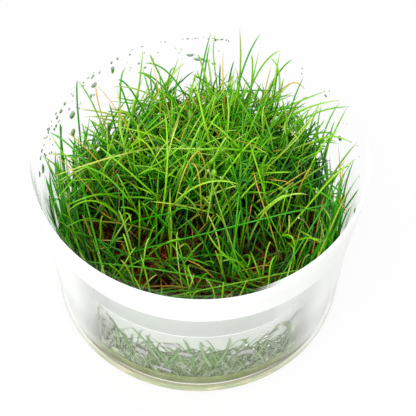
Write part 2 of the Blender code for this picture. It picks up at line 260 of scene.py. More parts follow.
@dataclass(frozen=True)
class FootPlastic:
    """The thick foot, with the gel's yellow painted along its edge as a painted refraction, painted white
    reflection at both sides, and clear above.
    """

    # Painted refraction of the gel seen through the foot; the white at the sides is painted reflection
    pale: Colour = srgb(206, 212, 166)
    green: Colour = srgb(152, 172, 84)
    thread: Colour = srgb(228, 216, 158)
    golden: Colour = srgb(206, 186, 120)
    olive: Colour = srgb(150, 138, 92)
    painted_reflection: Colour = srgb(236, 241, 228)
    painted_reflection_share: float = 0.75
    painted_reflection_from: Range = (24 * MM, 36 * MM)
    olive_from: Range = (-5 * MM, 25 * MM)
    depth: float = 8.0 * MM
    pale_from: Range = (0.5, 0.8)
    line_ends: Range = (0.16, 0.22)
    threads: Range = (0.5, 0.62)
    streaks: float = 190.0
    flattened: float = 7.0
    waver: float = 0.24
    low_shares: tuple[Range, ...] = ((0.0, 0.02), (0.07, 0.04), (0.1, 0.8), (0.18, 0.8))
    high_shares: tuple[Range, ...] = ((0.5, 0.75), (0.75, 0.3), (1.0, 0.01))

    def material(self) -> bpy.types.Material:
        """Makes the material: a broken golden line at the stand, olive to the right, all painted refraction of
        the gel, with painted white reflection at both sides.
        """
        shader = Shader("cup_foot")
        across, _, height = shader.place()
        level = shader.maths("DIVIDE", height, self.depth)
        mapping = {"Vector": shader.objectwise(), "Scale": (1, 1, self.flattened)}
        streaks = shader.noise(self.streaks, 4, shader.node("Mapping", mapping).outputs[0])
        waver = shader.maths("MULTIPLY_ADD", streaks, self.waver, -self.waver / 2)
        uneven = shader.maths("ADD", level, waver)
        line = shader.mix(shader.step(across, *self.olive_from), self.golden, self.olive)
        side = shader.step(shader.maths("ABSOLUTE", across), *self.painted_reflection_from)
        body = shader.mix(shader.step(level, *self.pale_from), self.green, self.pale)
        body = shader.mix(shader.step(streaks, *self.threads), body, self.thread)
        body = shader.mix(side, body, self.painted_reflection)
        above = shader.step(uneven, *self.line_ends)
        shader.link(shader.mix(above, line, body), "Base Color")
        stops = self.low_shares + self.high_shares
        share = shader.ramp(uneven, *((at, grey(share)) for at, share in stops))
        painted_reflection = shader.times(shader.times(side, above), self.painted_reflection_share)
        shader.link(shader.maths("MAXIMUM", share, painted_reflection), "Alpha")
        shader.put(Roughness=0.06, IOR=1.49)
        return shader.material


@dataclass(frozen=True)
class PaintedReflectionOutside:
    """The outside of the wall: a painted white reflection of the bright surroundings in front, clear at the
    back.

    The painted reflection ends over a range of Y, and low on the wall over a wider one. It may be kept to the
    sides, and be thinner below a height.
    """

    name: str
    share: float
    ends_at_y: Range
    from_x: Range = EVERYWHERE
    both_sides: bool = True
    full_above: Range = EVERYWHERE
    low_share: float = 0.8
    low_ends_at_y: Range = NOWHERE
    low_below: Range = NOWHERE
    clear: float = 0.004
    white: Colour = (0.965, 0.98, 0.96)

    def material(self) -> bpy.types.Material:
        """Makes the material."""
        shader = Shader(self.name)
        across, away, height = shader.place()
        low = shader.times(shader.step(away, *self.low_ends_at_y), shader.step(height, *self.low_below))
        front = shader.maths("MAXIMUM", shader.step(away, *self.ends_at_y), low)
        aside = shader.step(shader.maths("ABSOLUTE", across) if self.both_sides else across, *self.from_x)
        high = shader.step(height, *self.full_above)
        high = shader.maths("MULTIPLY_ADD", high, 1 - self.low_share, self.low_share)
        # Painted reflection of the bright surroundings, laid on by place on the wall
        haze = shader.times(shader.times(front, aside), high)
        shader.link(shader.maths("MULTIPLY_ADD", haze, self.share, self.clear), "Alpha")
        shader.put(Base_Color=(*self.white, 1), Roughness=0.4, Specular_IOR_Level=0.2)
        return shader.material


@dataclass(frozen=True)
class CultureGelFinish:
    """Set clear gel, a little yellow from the roots."""

    clear: Colour = srgb(196, 206, 132)
    cloudy: Colour = srgb(140, 162, 84)
    clouds: float = 160.0
    clouds_from: Range = (0.35, 0.7)
    shares: Range = (0.6, 0.85)
    relief: float = 0.1 * MM

    def material(self) -> bpy.types.Material:
        """Makes the material."""
        shader = Shader("culture_gel")
        cloud = shader.noise(self.clouds, 4)
        shader.link(shader.ramp(cloud, *zip(self.clouds_from, (self.clear, self.cloudy))), "Base Color")
        shader.link(shader.ramp(cloud, *zip(self.clouds_from, map(grey, self.shares))), "Alpha")
        shader.put(Roughness=0.12, IOR=1.34)
        shader.bump(shader.noise(300, 3), self.relief, 0.6)
        return shader.material


@dataclass(frozen=True)
class LeafFinish:
    """Waxy green leaves, with a pale sheath, streaks along them and brown where they age; painted shade
    darkens them deep under the canopy, and their palest tone is a painted highlight.
    """

    name: str = "hairgrass_leaf"
    deep: Colour = srgb(6, 84, 0)
    middle: Colour = srgb(62, 184, 0)
    bright: Colour = srgb(172, 244, 34)
    pale: Colour = srgb(214, 250, 120)
    old: Colour = srgb(244, 172, 40)
    straw: Colour = srgb(246, 220, 108)
    sheath: Colour = srgb(92, 66, 30)
    sheath_end: float = 0.12
    half_shade: Colour = (0.5, 0.72, 0.4)
    deepest_shade: Colour = (0.02, 0.07, 0.01)
    streak_dark: Colour = (0.72, 0.72, 0.72)
    streak_light: Colour = (1.12, 1.12, 1.05)
    streaks: float = 900.0
    streak_strength: float = 0.8
    ages_along: Range = (0.05, 0.5)
    relief: float = 0.03 * MM

    def material(self) -> bpy.types.Material:
        """Makes the material."""
        shader = Shader(self.name)
        tone, along = shader.attribute("tone"), shader.attribute("along")
        # The palest stop is a painted highlight
        tones = ((0.0, self.deep), (0.45, self.middle), (0.88, self.bright), (1.0, self.pale))
        green = shader.ramp(tone, *tones)
        rooted = shader.ramp(along, (0.0, WHITE), (self.sheath_end, BLACK))
        # Painted shade: darker with the depth under the canopy
        shade_stops = ((0.0, WHITE), (0.45, self.half_shade), (1.0, self.deepest_shade))
        green = shader.mix(1.0, green, shader.ramp(shader.attribute("depth"), *shade_stops), "MULTIPLY")
        green = shader.mix(rooted, green, self.sheath)
        streak = shader.ramp(shader.noise(self.streaks, 2), (0.3, self.streak_dark), (0.7, self.streak_light))
        green = shader.mix(self.streak_strength, green, streak, "MULTIPLY")
        dead = shader.mix(tone, self.old, self.straw)
        aging = shader.maths("ADD", shader.step(along, *self.ages_along), 0.3)
        shader.link(shader.mix(shader.times(shader.attribute("age"), aging), green, dead), "Base Color")
        shader.put(Roughness=0.28, Specular_IOR_Level=0.45)
        shader.bump(shader.noise(1600, 1), self.relief, 0.4)
        return shader.material


@dataclass(frozen=True)
class RootFinish:
    """Matted roots and dead leaf bases, near black between the lit fibres."""

    name: str
    dark: Colour = srgb(19, 10, 4)
    middle: Colour = srgb(122, 56, 20)
    light: Colour = srgb(222, 130, 60)
    clouds: float = 180.0
    cloud_share: float = 0.3
    fibre_share: float = 0.75
    relief: float = 0.15 * MM

    def material(self) -> bpy.types.Material:
        """Makes the material."""
        shader = Shader(self.name)
        cloud = shader.times(shader.noise(self.clouds, 5), self.cloud_share)
        value = shader.maths("MULTIPLY_ADD", shader.attribute("tone"), self.fibre_share, cloud)
        shader.link(shader.ramp(value, (0.1, self.dark), (0.5, self.middle), (1.0, self.light)), "Base Color")
        shader.put(Roughness=0.7, Specular_IOR_Level=0.3)
        shader.bump(shader.noise(1400, 4), self.relief)
        return shader.material


@dataclass(frozen=True)
class BlurredFinish:
    """Something wet behind the wall, soft at its sides and ends."""

    name: str
    dark: Colour
    light: Colour
    strength: float
    clouds: float = 260.0
    cloud_share: float = 0.5
    soft_from: float = 0.35
    soft_ends: float = 0.1

    def material(self) -> bpy.types.Material:
        """Makes the material."""
        shader = Shader(self.name)
        noise = shader.noise(self.clouds, 2)
        cloud = shader.maths("MULTIPLY_ADD", noise, self.cloud_share, -self.cloud_share / 2)
        tone = shader.maths("ADD", shader.attribute("tone"), cloud)
        shader.link(shader.ramp(tone, (0.0, self.dark), (1.0, self.light)), "Base Color")
        across = shader.step(shader.attribute("across"), 1.0, self.soft_from)
        stops = ((0.0, BLACK), (self.soft_ends, WHITE), (1 - self.soft_ends, WHITE), (1.0, BLACK))
        ends = shader.ramp(shader.attribute("along"), *stops)
        shader.link(shader.times(shader.times(across, ends), self.strength), "Alpha")
        shader.put(Roughness=0.6, Specular_IOR_Level=0.1)
        return shader.material


@dataclass(frozen=True)
class WaterFinish:
    """Drops of condensation, whose body colour is painted: a grey-green tint on the wall that paints the shade
    and greens about them, and near white on dew that paints glints.
    """

    name: str
    body: Colour
    clear: float
    relief: float = 0.01 * MM

    def material(self) -> bpy.types.Material:
        """Makes the material."""
        shader = Shader(self.name)
        shader.put(Base_Color=(*self.body, 1), Roughness=0.03, IOR=1.33, Transmission_Weight=self.clear)
        shader.bump(shader.noise(500, 1), self.relief, 0.3)
        return shader.material


# Modelling


def deselect() -> None:
    """Leaves object mode with nothing selected."""
    if bpy.context.mode != "OBJECT":
        bpy.ops.object.mode_set(mode="OBJECT")
    bpy.ops.object.select_all(action="DESELECT")


def activate(item: bpy.types.Object) -> None:
    """Makes a piece the only one selected, and the active one."""
    deselect()
    item.select_set(True)
    bpy.context.view_layer.objects.active = item


@contextmanager
def editing(mode: str = "VERT") -> Iterator[None]:
    """Edit mode on the active piece, with all of it selected, for the length of a block."""
    bpy.ops.object.mode_set(mode="EDIT")
    bpy.ops.mesh.select_mode(type=mode)
    bpy.ops.mesh.select_all(action="SELECT")
    yield
    bpy.ops.object.mode_set(mode="OBJECT")


def linked(name: str, data: bpy.types.ID) -> bpy.types.Object:
    """A new object of the scene, with its data."""
    item = bpy.data.objects.new(name, data)
    bpy.context.scene.collection.objects.link(item)
    return item


def named(name: str) -> bpy.types.Object:
    """The active object, with its name and its mesh's set."""
    item = bpy.context.object
    item.name = item.data.name = name
    return item


def apply_modifiers(item: bpy.types.Object) -> None:
    """Applies all of a piece's modifiers in order."""
    activate(item)
    for modifier in list(item.modifiers):
        bpy.ops.object.modifier_apply(modifier=modifier.name)


def settle(item: bpy.types.Object, slot: Slot, *nodes: str) -> None:
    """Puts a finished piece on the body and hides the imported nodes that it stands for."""
    activate(item)
    bpy.ops.object.transform_apply(location=True, rotation=True, scale=True)
    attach(item, BODY)
    if nodes:
        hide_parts(*nodes)
    LOG.info("%s: %d faces", item.name, len(item.data.polygons))


def turned_surface(name: str, profile: Profile, sides: int, capped: bool = True) -> bpy.types.Object:
    """A disc whose rim is extruded ring by ring along a profile, from the axis outwards.

    Args:
        name: The piece's name.
        profile: Radius and height of each ring, from the innermost.
        sides: How many sides the rings have.
        capped: Whether a disc closes the innermost ring.

    Returns:
        The open surface.
    """
    deselect()
    radius, height = profile[0]
    fill = "NGON" if capped else "NOTHING"
    bpy.ops.mesh.primitive_circle_add(vertices=sides, radius=radius, fill_type=fill, location=(0, 0, height))
    item = named(name)
    bpy.ops.object.transform_apply(location=True)
    with editing("EDGE"):
        if capped:
            bpy.ops.mesh.region_to_loop()
        for next_radius, next_height in profile[1:]:
            bpy.ops.mesh.extrude_edges_move(TRANSFORM_OT_translate={"value": (0, 0, next_height - height)})
            share = next_radius / radius
            bpy.ops.transform.resize(value=(share, share, 1), center_override=(0, 0, next_height))
            radius, height = next_radius, next_height
    return item


def outward(item: bpy.types.Object) -> None:
    """Merges doubles and makes a closed piece's faces point outwards."""
    activate(item)
    with editing():
        bpy.ops.mesh.remove_doubles(threshold=1e-6)
        bpy.ops.mesh.normals_make_consistent(inside=False)


def smooth_by_angle(item: bpy.types.Object, degrees: float) -> None:
    """Smooth shading that keeps corners sharper than an angle."""
    activate(item)
    bpy.ops.object.shade_smooth_by_angle(angle=math.radians(degrees))


def rounding(centre: Range, radius: float, start: float, end: float, points: int) -> Profile:
    """Points on an arc of a profile.

    Args:
        centre: The arc's centre, as radius from the axis and height.
        radius: The arc's own radius.
        start: Its first angle, in degrees from straight out.
        end: Its last angle.
        points: How many points it has.

    Returns:
        The points, from first to last.
    """
    angles = np.radians(np.linspace(start, end, points))
    return [(centre[0] + radius * math.cos(a), centre[1] + radius * math.sin(a)) for a in angles]


@dataclass
class CultureCup:
    """The clear cup: foot, tapered wall, stacking ridge, wider collar and lip."""

    height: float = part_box("cup")[1].z
    rim_radius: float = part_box("cup")[1].x
    foot_radius: float = 39.5 * MM
    wall: float = 1.1 * MM
    foot_rounding: float = 2.4 * MM
    stand_ring: float = 4.0 * MM
    floor_recess: float = 0.7 * MM
    gel_top: float = 8.0 * MM
    highlight_before: float = -14.0 * MM
    ridge: Range = (24.5 * MM, 0.5 * MM)
    collar: Range = (13.7 * MM, 0.7 * MM)
    lip: Range = (5.5 * MM, 0.5 * MM)
    softened: float = 0.18 * MM
    sides: int = 160

    def levels(self) -> list[Range]:
        """The heights at which the wall widens, lowest first, with how far it widens."""
        return [(self.height - below, step) for below, step in (self.ridge, self.collar, self.lip)]

    def outer(self, height: float) -> float:
        """Radius of the outside at a height."""
        widest = sum(step for _, step in self.levels())
        taper = (self.rim_radius - self.foot_radius - widest) / (self.height - self.wall / 2)
        widened = sum(step for level, step in self.levels() if height > level)
        return self.foot_radius + taper * height + widened

    def inner(self, height: float) -> float:
        """Radius of the inside at a height."""
        return self.outer(min(height, self.height) - self.wall / 2) - self.wall

    def profile(self) -> Profile:
        """The outside, from the recess under the floor out round the foot and up to the rim."""
        foot = self.outer(self.foot_rounding)
        ring = foot - self.foot_rounding - self.stand_ring
        points = [(ring - self.floor_recess, self.floor_recess), (ring, 0.0)]
        points += rounding((foot - self.foot_rounding, self.foot_rounding), self.foot_rounding, -90, 0, 7)
        points.append((self.outer(self.gel_top), self.gel_top))
        for level, step in self.levels():
            below = self.outer(level - step)
            points += [(below, level - step), (below + step, level)]
        return points + [(self.rim_radius, self.height)]

    def build(self) -> None:
        """Models the cup, with its walls' thickness and softened edges."""
        cup = turned_surface("culture_cup", self.profile(), self.sides)
        thickness = cup.modifiers.new("wall", "SOLIDIFY")
        thickness.thickness = self.wall
        thickness.offset = 1
        thickness.use_even_offset = True
        apply_modifiers(cup)
        outward(cup)
        bevel = cup.modifiers.new("edges", "BEVEL")
        bevel.width = self.softened
        bevel.segments = 2
        bevel.limit_method = "ANGLE"
        bevel.angle_limit = math.radians(28)
        apply_modifiers(cup)
        smooth_by_angle(cup, 40)
        self.dress(cup)
        settle(cup, Slot.CUP, "cup")

    @staticmethod
    def finishes() -> dict:
        """The finish of each part: clear, a painted highlight on the ridge's step, and painted white
        reflection outside in front, at the sides and on the lip.
        """
        return {
            Wall.CLEAR: ClearPlastic("cup_clear", 0.004, 0.03),
            Wall.MILKY: ClearPlastic("cup_ridge_highlight", 0.35, 0.3),
            Wall.FOOT: FootPlastic(),
            Wall.COLLAR: PaintedReflectionOutside("cup_collar", 0.985, (-2 * MM, -8 * MM)),
            Wall.SIDE: PaintedReflectionOutside(
                "cup_side",
                0.96,
                ends_at_y=(-5 * MM, -12 * MM),
                from_x=(21 * MM, 34 * MM),
                full_above=(14 * MM, 28 * MM),
                low_ends_at_y=(20 * MM, -10 * MM),
                low_below=(52 * MM, 14 * MM),
            ),
            Wall.LIP: PaintedReflectionOutside("cup_lip", 0.96, (6 * MM, -2 * MM), (14 * MM, 24 * MM), both_sides=False),
        }

    def part(self, place: Vector) -> Wall:
        """The part of the wall that a face belongs to, by its middle."""
        (ridge, ridge_step), (collar, collar_step), _ = self.levels()
        # Painted highlight: the ridge's step gets a milky white line, in front only
        if ridge - ridge_step < place.z < ridge + 0.1 * MM and place.y < self.highlight_before:
            return Wall.MILKY
        under_foot = self.foot_rounding if place.z < self.foot_rounding else 0
        if math.hypot(place.x, place.y) <= self.outer(place.z) - self.wall * 0.7 - under_foot:
            return Wall.CLEAR
        if place.z < self.gel_top:
            return Wall.FOOT
        if place.z > self.height - self.wall / 4:
            return Wall.LIP
        return Wall.COLLAR if place.z > collar - collar_step else Wall.SIDE

    def dress(self, cup: bpy.types.Object) -> None:
        """Gives each part of the cup its finish."""
        finishes = self.finishes()
        for part in Wall:
            cup.data.materials.append(finishes[part].material())
        for face in cup.data.polygons:
            face.material_index = self.part(face.center).value


@dataclass(frozen=True)
class MistFinish:
    """Fine condensation, kept to the front, where its white is also a painted reflection: a grey crescent
    under the collar, painted white reflection beside it, and greenish below.
    """

    alphas: tuple[Range, ...]
    colours: tuple[tuple[float, Colour], ...]
    top: float
    ends_at_y: Range = (-4 * MM, -9 * MM)
    crescent_middle: float = -4 * MM
    crescent_reach: Range = (14 * MM, 31 * MM)
    # Painted reflection: white towards the sides and high up, and thick beside the crescent
    painted_white_above: Range = (24 * MM, 32 * MM)
    white: Colour = (0.96, 0.965, 0.96)
    painted_white_share: float = 0.97
    beside: float = 0.76
    edge_on: Range = (0.5, 0.95)
    edge_share: float = 0.9
    clouds: float = 120.0
    cloud: Colour = (0.93, 0.95, 0.91)
    cloudy_below: Range = (32 * MM, 26 * MM)

    def material(self) -> bpy.types.Material:
        """Makes the material, whose thickness goes with its place on the wall."""
        shader = Shader("mist")
        across, away, height = shader.place()
        level = shader.maths("DIVIDE", height, self.top)
        aside = shader.maths("ABSOLUTE", shader.maths("SUBTRACT", across, self.crescent_middle))
        sides = shader.step(aside, *self.crescent_reach)
        # Painted reflection: white at the crescent's sides, high on the wall
        white = shader.times(sides, shader.step(height, *self.painted_white_above))
        edge = shader.node("LayerWeight", {"Blend": 0.5}).outputs["Facing"]
        thickness = shader.ramp(level, *((at / self.top, grey(share)) for at, share in self.alphas))
        for part, share in (
            (sides, self.beside),
            (white, self.painted_white_share),
            (shader.step(edge, *self.edge_on), self.edge_share),
        ):
            thickness = shader.maths("MAXIMUM", thickness, shader.times(part, share))
        shader.link(shader.times(thickness, shader.step(away, *self.ends_at_y)), "Alpha")
        colour = shader.ramp(level, *((at / self.top, colour) for at, colour in self.colours))
        cloud = shader.ramp(shader.noise(self.clouds, 3), (0.35, self.cloud), (0.6, WHITE))
        clouded = shader.mix(1.0, colour, cloud, "MULTIPLY")
        colour = shader.mix(shader.step(height, *self.cloudy_below), colour, clouded)
        shader.link(shader.mix(white, colour, self.white), "Base Color")
        shader.put(Roughness=0.8, Specular_IOR_Level=0.1)
        return shader.material


@dataclass
class Mist:
    """The condensation on the front of the cup's inside, whose white is also a painted reflection of the
    bright surroundings.
    """

    cup: CultureCup
    lowest: float = 7.5 * MM
    overlap: float = 0.8 * MM
    off_wall: float = 0.5 * MM
    thickness: float = 0.06 * MM
    end: float = -3.0 * MM
    crescent: Range = (32.0 * MM, 43.9 * MM)
    line: Range = (-0.2 * MM, 0.1 * MM)
    blur: float = 0.1 * MM
    sides: int = 160

    def finish(self) -> MistFinish:
        """The film's finish, with a painted highlight line along the lower edge of the crescent and painted
        white where it meets the collar.
        """
        low, high = self.crescent
        line_low, line_high = low + self.line[0], low + self.line[1]
        under, over = line_low - self.blur, line_high + self.blur
        collar, white = high - 0.5 * MM, high - 0.3 * MM
        alphas = ((self.lowest, 0.3), (9.0 * MM, 0.6), (14.0 * MM, 0.8), (22.0 * MM, 0.82), (under, 0.8))
        alphas += ((line_low, 0.95), (line_high, 0.95), (over, 0.6), (collar, 0.62), (white, 0.99))
        # Painted highlight at the line, and painted reflection in the white under the collar
        colours = (
            (self.lowest, srgb(226, 234, 200)),
            (12.0 * MM, srgb(226, 236, 216)),
            (20.0 * MM, srgb(228, 236, 224)),
            (under, srgb(230, 235, 228)),
            (line_low, srgb(254, 255, 254)),
            (line_high, srgb(254, 255, 254)),
            (over, srgb(232, 238, 232)),
            (collar, srgb(238, 241, 238)),
            (white, srgb(252, 253, 252)),
        )
        return MistFinish(alphas, colours, self.cup.height)

    def build(self) -> None:
        """Models the film as a band inside the wall, cut to the front half."""
        (ridge, ridge_step), (collar, collar_step), _ = self.cup.levels()
        heights = (self.lowest, ridge - ridge_step, collar - collar_step, collar + 0.05 * MM)
        heights += (collar + self.overlap,)
        profile = [(self.cup.inner(height) - self.off_wall, height) for height in heights]
        mist = turned_surface("mist", profile, self.sides, capped=False)
        with editing("EDGE"):
            bpy.ops.mesh.bisect(plane_co=(0, self.end, 0), plane_no=(0, 1, 0), clear_outer=True)
        film = mist.modifiers.new("film", "SOLIDIFY")
        film.thickness = self.thickness
        film.offset = 0
        apply_modifiers(mist)
        outward(mist)
        smooth_by_angle(mist, 40)
        mist.data.materials.append(self.finish().material())
        settle(mist, Slot.CUP)


@dataclass
class CultureGel:
    """The gel on the cup's floor, with its meniscus."""

    cup: CultureCup
    depth: float = 6.2 * MM
    gap: float = 0.3 * MM
    floor: float = 1.4 * MM
    meniscus: float = 0.8 * MM
    meniscus_width: float = 3.0 * MM
    middle: float = 1.0 * MM
    sides: int = 128

    def build(self) -> None:
        """Models the gel from its underside up to its sunk top."""
        bottom = self.floor + self.gap
        top = bottom + self.depth
        corner = self.cup.foot_rounding + self.gap
        edge, rim = (self.cup.inner(height) - self.gap for height in (bottom + corner, top))
        points = [(self.middle, bottom)]
        points += rounding((edge - corner, bottom + corner), corner, -90, 0, 6)
        points += [(rim, top), (rim - self.meniscus_width / 3, top - self.meniscus * 0.6)]
        points += [(out, top - self.meniscus) for out in (rim - self.meniscus_width, self.middle)]
        gel = turned_surface("gel_layer", points, self.sides)
        activate(gel)
        with editing("EDGE"):
            bpy.ops.mesh.select_all(action="DESELECT")
            bpy.ops.mesh.select_non_manifold()
            bpy.ops.mesh.edge_face_add()
        outward(gel)
        smooth_by_angle(gel, 35)
        gel.data.materials.append(CultureGelFinish().material())
        settle(gel, Slot.GEL, "culture_gel")


# Leaves and fibres


class Strand:
    """A needle modelled once: a thin tube of unit length that narrows to a point."""

    def __init__(self, name: str, sides: int, rings: int) -> None:
        """Models the master and reads its points.

        Args:
            name: The master's name, until it is taken away.
            sides: How many sides it has.
            rings: How many pieces it has along its length.
        """
        deselect()
        size = {"vertices": sides, "radius": 1, "depth": 1, "location": (0, 0, 0.5)}
        bpy.ops.mesh.primitive_cylinder_add(end_fill_type="NOTHING", **size)
        master = named(name)
        bpy.ops.object.transform_apply(location=True)
        with editing("EDGE"):
            self.select_edges(master, lambda a, b: abs(a.z - b.z) > 0.5)
            bpy.ops.mesh.subdivide(number_cuts=rings - 1)
            self.select_edges(master, lambda a, b: min(a.z, b.z) > 1 - 1e-4)
            bpy.ops.mesh.merge(type="CENTER")
            self.select_edges(master, lambda a, b: max(a.z, b.z) < 1e-4)
            bpy.ops.mesh.edge_face_add()
        outward(master)
        self.points = np.array([tuple(v.co) for v in master.data.vertices])
        self.faces = [tuple(face.vertices) for face in master.data.polygons]
        bpy.data.objects.remove(master)

    @staticmethod
    def select_edges(item: bpy.types.Object, chosen: Callable[[Vector, Vector], bool]) -> None:
        """Selects the edges whose two ends fit a test."""
        bpy.ops.mesh.select_all(action="DESELECT")
        mesh = bmesh.from_edit_mesh(item.data)
        for edge in mesh.edges:
            if chosen(edge.verts[0].co, edge.verts[1].co):
                edge.select_set(True)
        bmesh.update_edit_mesh(item.data)

    def copies(self, lines: "Lines", flatness: float) -> np.ndarray:
        """The master laid along each of a set of centre lines.

        Args:
            lines: The centre lines, with their widths.
            flatness: How thick the strands are, as a share of their width.

        Returns:
            All the points, strand by strand.
        """
        t = self.points[:, 2]
        centre, tangent = lines.at(t)
        side = lines.side()[:, None, :]
        up = np.cross(tangent, side)
        width = lines.radius[:, None] * lines.taper(t)[None, :]
        x = (self.points[:, 0] * width)[..., None]
        y = (self.points[:, 1] * width)[..., None] * flatness
        return (centre + side * x + up * y).reshape(-1, 3)


@dataclass
class Lines:
    """Bowed centre lines: each leaves its base towards a control point and ends at its tip."""

    base: np.ndarray
    control: np.ndarray
    tip: np.ndarray
    radius: np.ndarray
    tone: np.ndarray
    age: np.ndarray
    wobble: np.ndarray
    broad: np.ndarray | None = None
    sway: float = 2.2 * MM
    waves: float = 2.3

    def at(self, t: np.ndarray) -> tuple[np.ndarray, np.ndarray]:
        """Points and directions along the lines.

        Args:
            t: Where along each line, from 0 to 1.

        Returns:
            The points and the unit directions, for each line and place.
        """
        t = t[None, :, None]
        a, b, c = (p[:, None, :] for p in (self.base, self.control, self.tip))
        point = a * (1 - t) ** 2 + b * 2 * t * (1 - t) + c * t**2
        direction = (b - a) * 2 * (1 - t) + (c - b) * 2 * t
        direction /= np.maximum(np.linalg.norm(direction, axis=-1, keepdims=True), 1e-9)
        wobble = self.wobble[:, None, None]
        sway = np.sin(t * math.pi * self.waves + wobble * 9) * t
        point = point + self.side()[:, None, :] * sway * wobble * self.sway
        return point, direction

    def side(self) -> np.ndarray:
        """The direction in which each line is broad, square to its bow if nothing else is said."""
        if self.broad is not None:
            return self.broad
        side = np.cross(self.control - self.base, self.tip - self.base)
        length = np.linalg.norm(side, axis=-1, keepdims=True)
        spare = np.cross(self.tip - self.base, np.array([0.31, 0.95, 0.02]))
        spare /= np.maximum(np.linalg.norm(spare, axis=-1, keepdims=True), 1e-12)
        return np.where(length > 1e-9, side / np.maximum(length, 1e-12), spare)

    @staticmethod
    def taper(t: np.ndarray) -> np.ndarray:
        """How much of its width a strand has at each place."""
        return np.clip(1.0 - 0.2 * t - 0.7 * np.clip((t - 0.78) / 0.22, 0, 1) ** 2, 0.1, 1)


def strand_piece(
    name: str,
    master: Strand,
    lines: Lines,
    material: bpy.types.Material,
    flatness: float = 1.0,
    depth: Callable[[np.ndarray], np.ndarray] = lambda points: np.zeros(len(points)),
) -> bpy.types.Object:
    """One mesh of many strands, with each one's tone, age and place along it stored at its points.

    Args:
        name: The piece's name.
        master: The strand that is copied.
        lines: Where the copies lie.
        material: Their finish.
        flatness: How thick they are, as a share of their width.
        depth: How deep in the foliage each point lies, from 0 to 1, which the leaves' finish turns into
            painted shade.

    Returns:
        The new piece.
    """
    points = master.copies(lines, flatness)
    each, count = len(master.points), len(lines.radius)
    faces = [tuple(v + i * each for v in face) for i in range(count) for face in master.faces]
    data = bpy.data.meshes.new(name)
    data.from_pydata(points.tolist(), [], faces)
    for key, values in (
        ("along", np.tile(master.points[:, 2], count)),
        ("across", np.tile(np.abs(master.points[:, 0]), count)),
        ("tone", np.repeat(lines.tone, each)),
        ("age", np.repeat(lines.age, each)),
        ("depth", depth(points)),
    ):
        data.attributes.new(key, "FLOAT", "POINT").data.foreach_set("value", values.astype(np.float32))
    data.shade_smooth()
    data.materials.append(material)
    return linked(name, data)


class SolidLeaves:
    """Reads the leaves of a packed plantlet back from its solid, ring by ring from each tip."""

    rings = 4
    slender = 2.5

    def __init__(self, node: str) -> None:
        """Merges a copy of the node's loose triangles.

        Args:
            node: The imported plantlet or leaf.
        """
        self.mesh = bmesh.new()
        self.mesh.from_mesh(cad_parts[node].data)
        bmesh.ops.remove_doubles(self.mesh, verts=self.mesh.verts, dist=0.01 * MM)
        self.mesh.verts.ensure_lookup_table()

    @staticmethod
    def neighbours(corners: set) -> set:
        """The points that edges join to a set of points."""
        return {edge.other_vert(v) for v in corners for edge in v.link_edges} - corners

    @staticmethod
    def middle(ring: set) -> Vector:
        """The middle of a ring of points."""
        return sum((v.co for v in ring), Vector()) / len(ring)

    def ends_a_leaf(self, tip: bmesh.types.BMVert, ring: set) -> bool:
        """True for a point that its ring lies far below, for the ring's width."""
        middle = self.middle(ring)
        return (tip.co - middle).length > self.slender * max((v.co - middle).length for v in ring)

    def leaves(self) -> Iterator[list[Vector]]:
        """The middles of each leaf's rings, from its base to its tip."""
        for tip in self.mesh.verts:
            near = self.neighbours({tip})
            if len(near) != 3 or not self.ends_a_leaf(tip, near):
                continue
            line, ring, passed = [tip.co.copy()], near, {tip}
            while len(ring) == 3 and len(line) <= self.rings:
                line.append(self.middle(ring))
                passed |= ring
                ring = self.neighbours(ring) - passed
            if len(line) == self.rings + 1:
                yield line[::-1]


def bows_of(node: str) -> list[Bow]:
    """Base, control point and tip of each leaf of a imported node; its middle ring is just past half way."""
    t = 0.56
    found = []
    for base, _, middle, _, tip in SolidLeaves(node).leaves():
        control = (middle - base * (1 - t) ** 2 - tip * t**2) / (2 * t * (1 - t))
        found.append((base, control, tip))
    return found


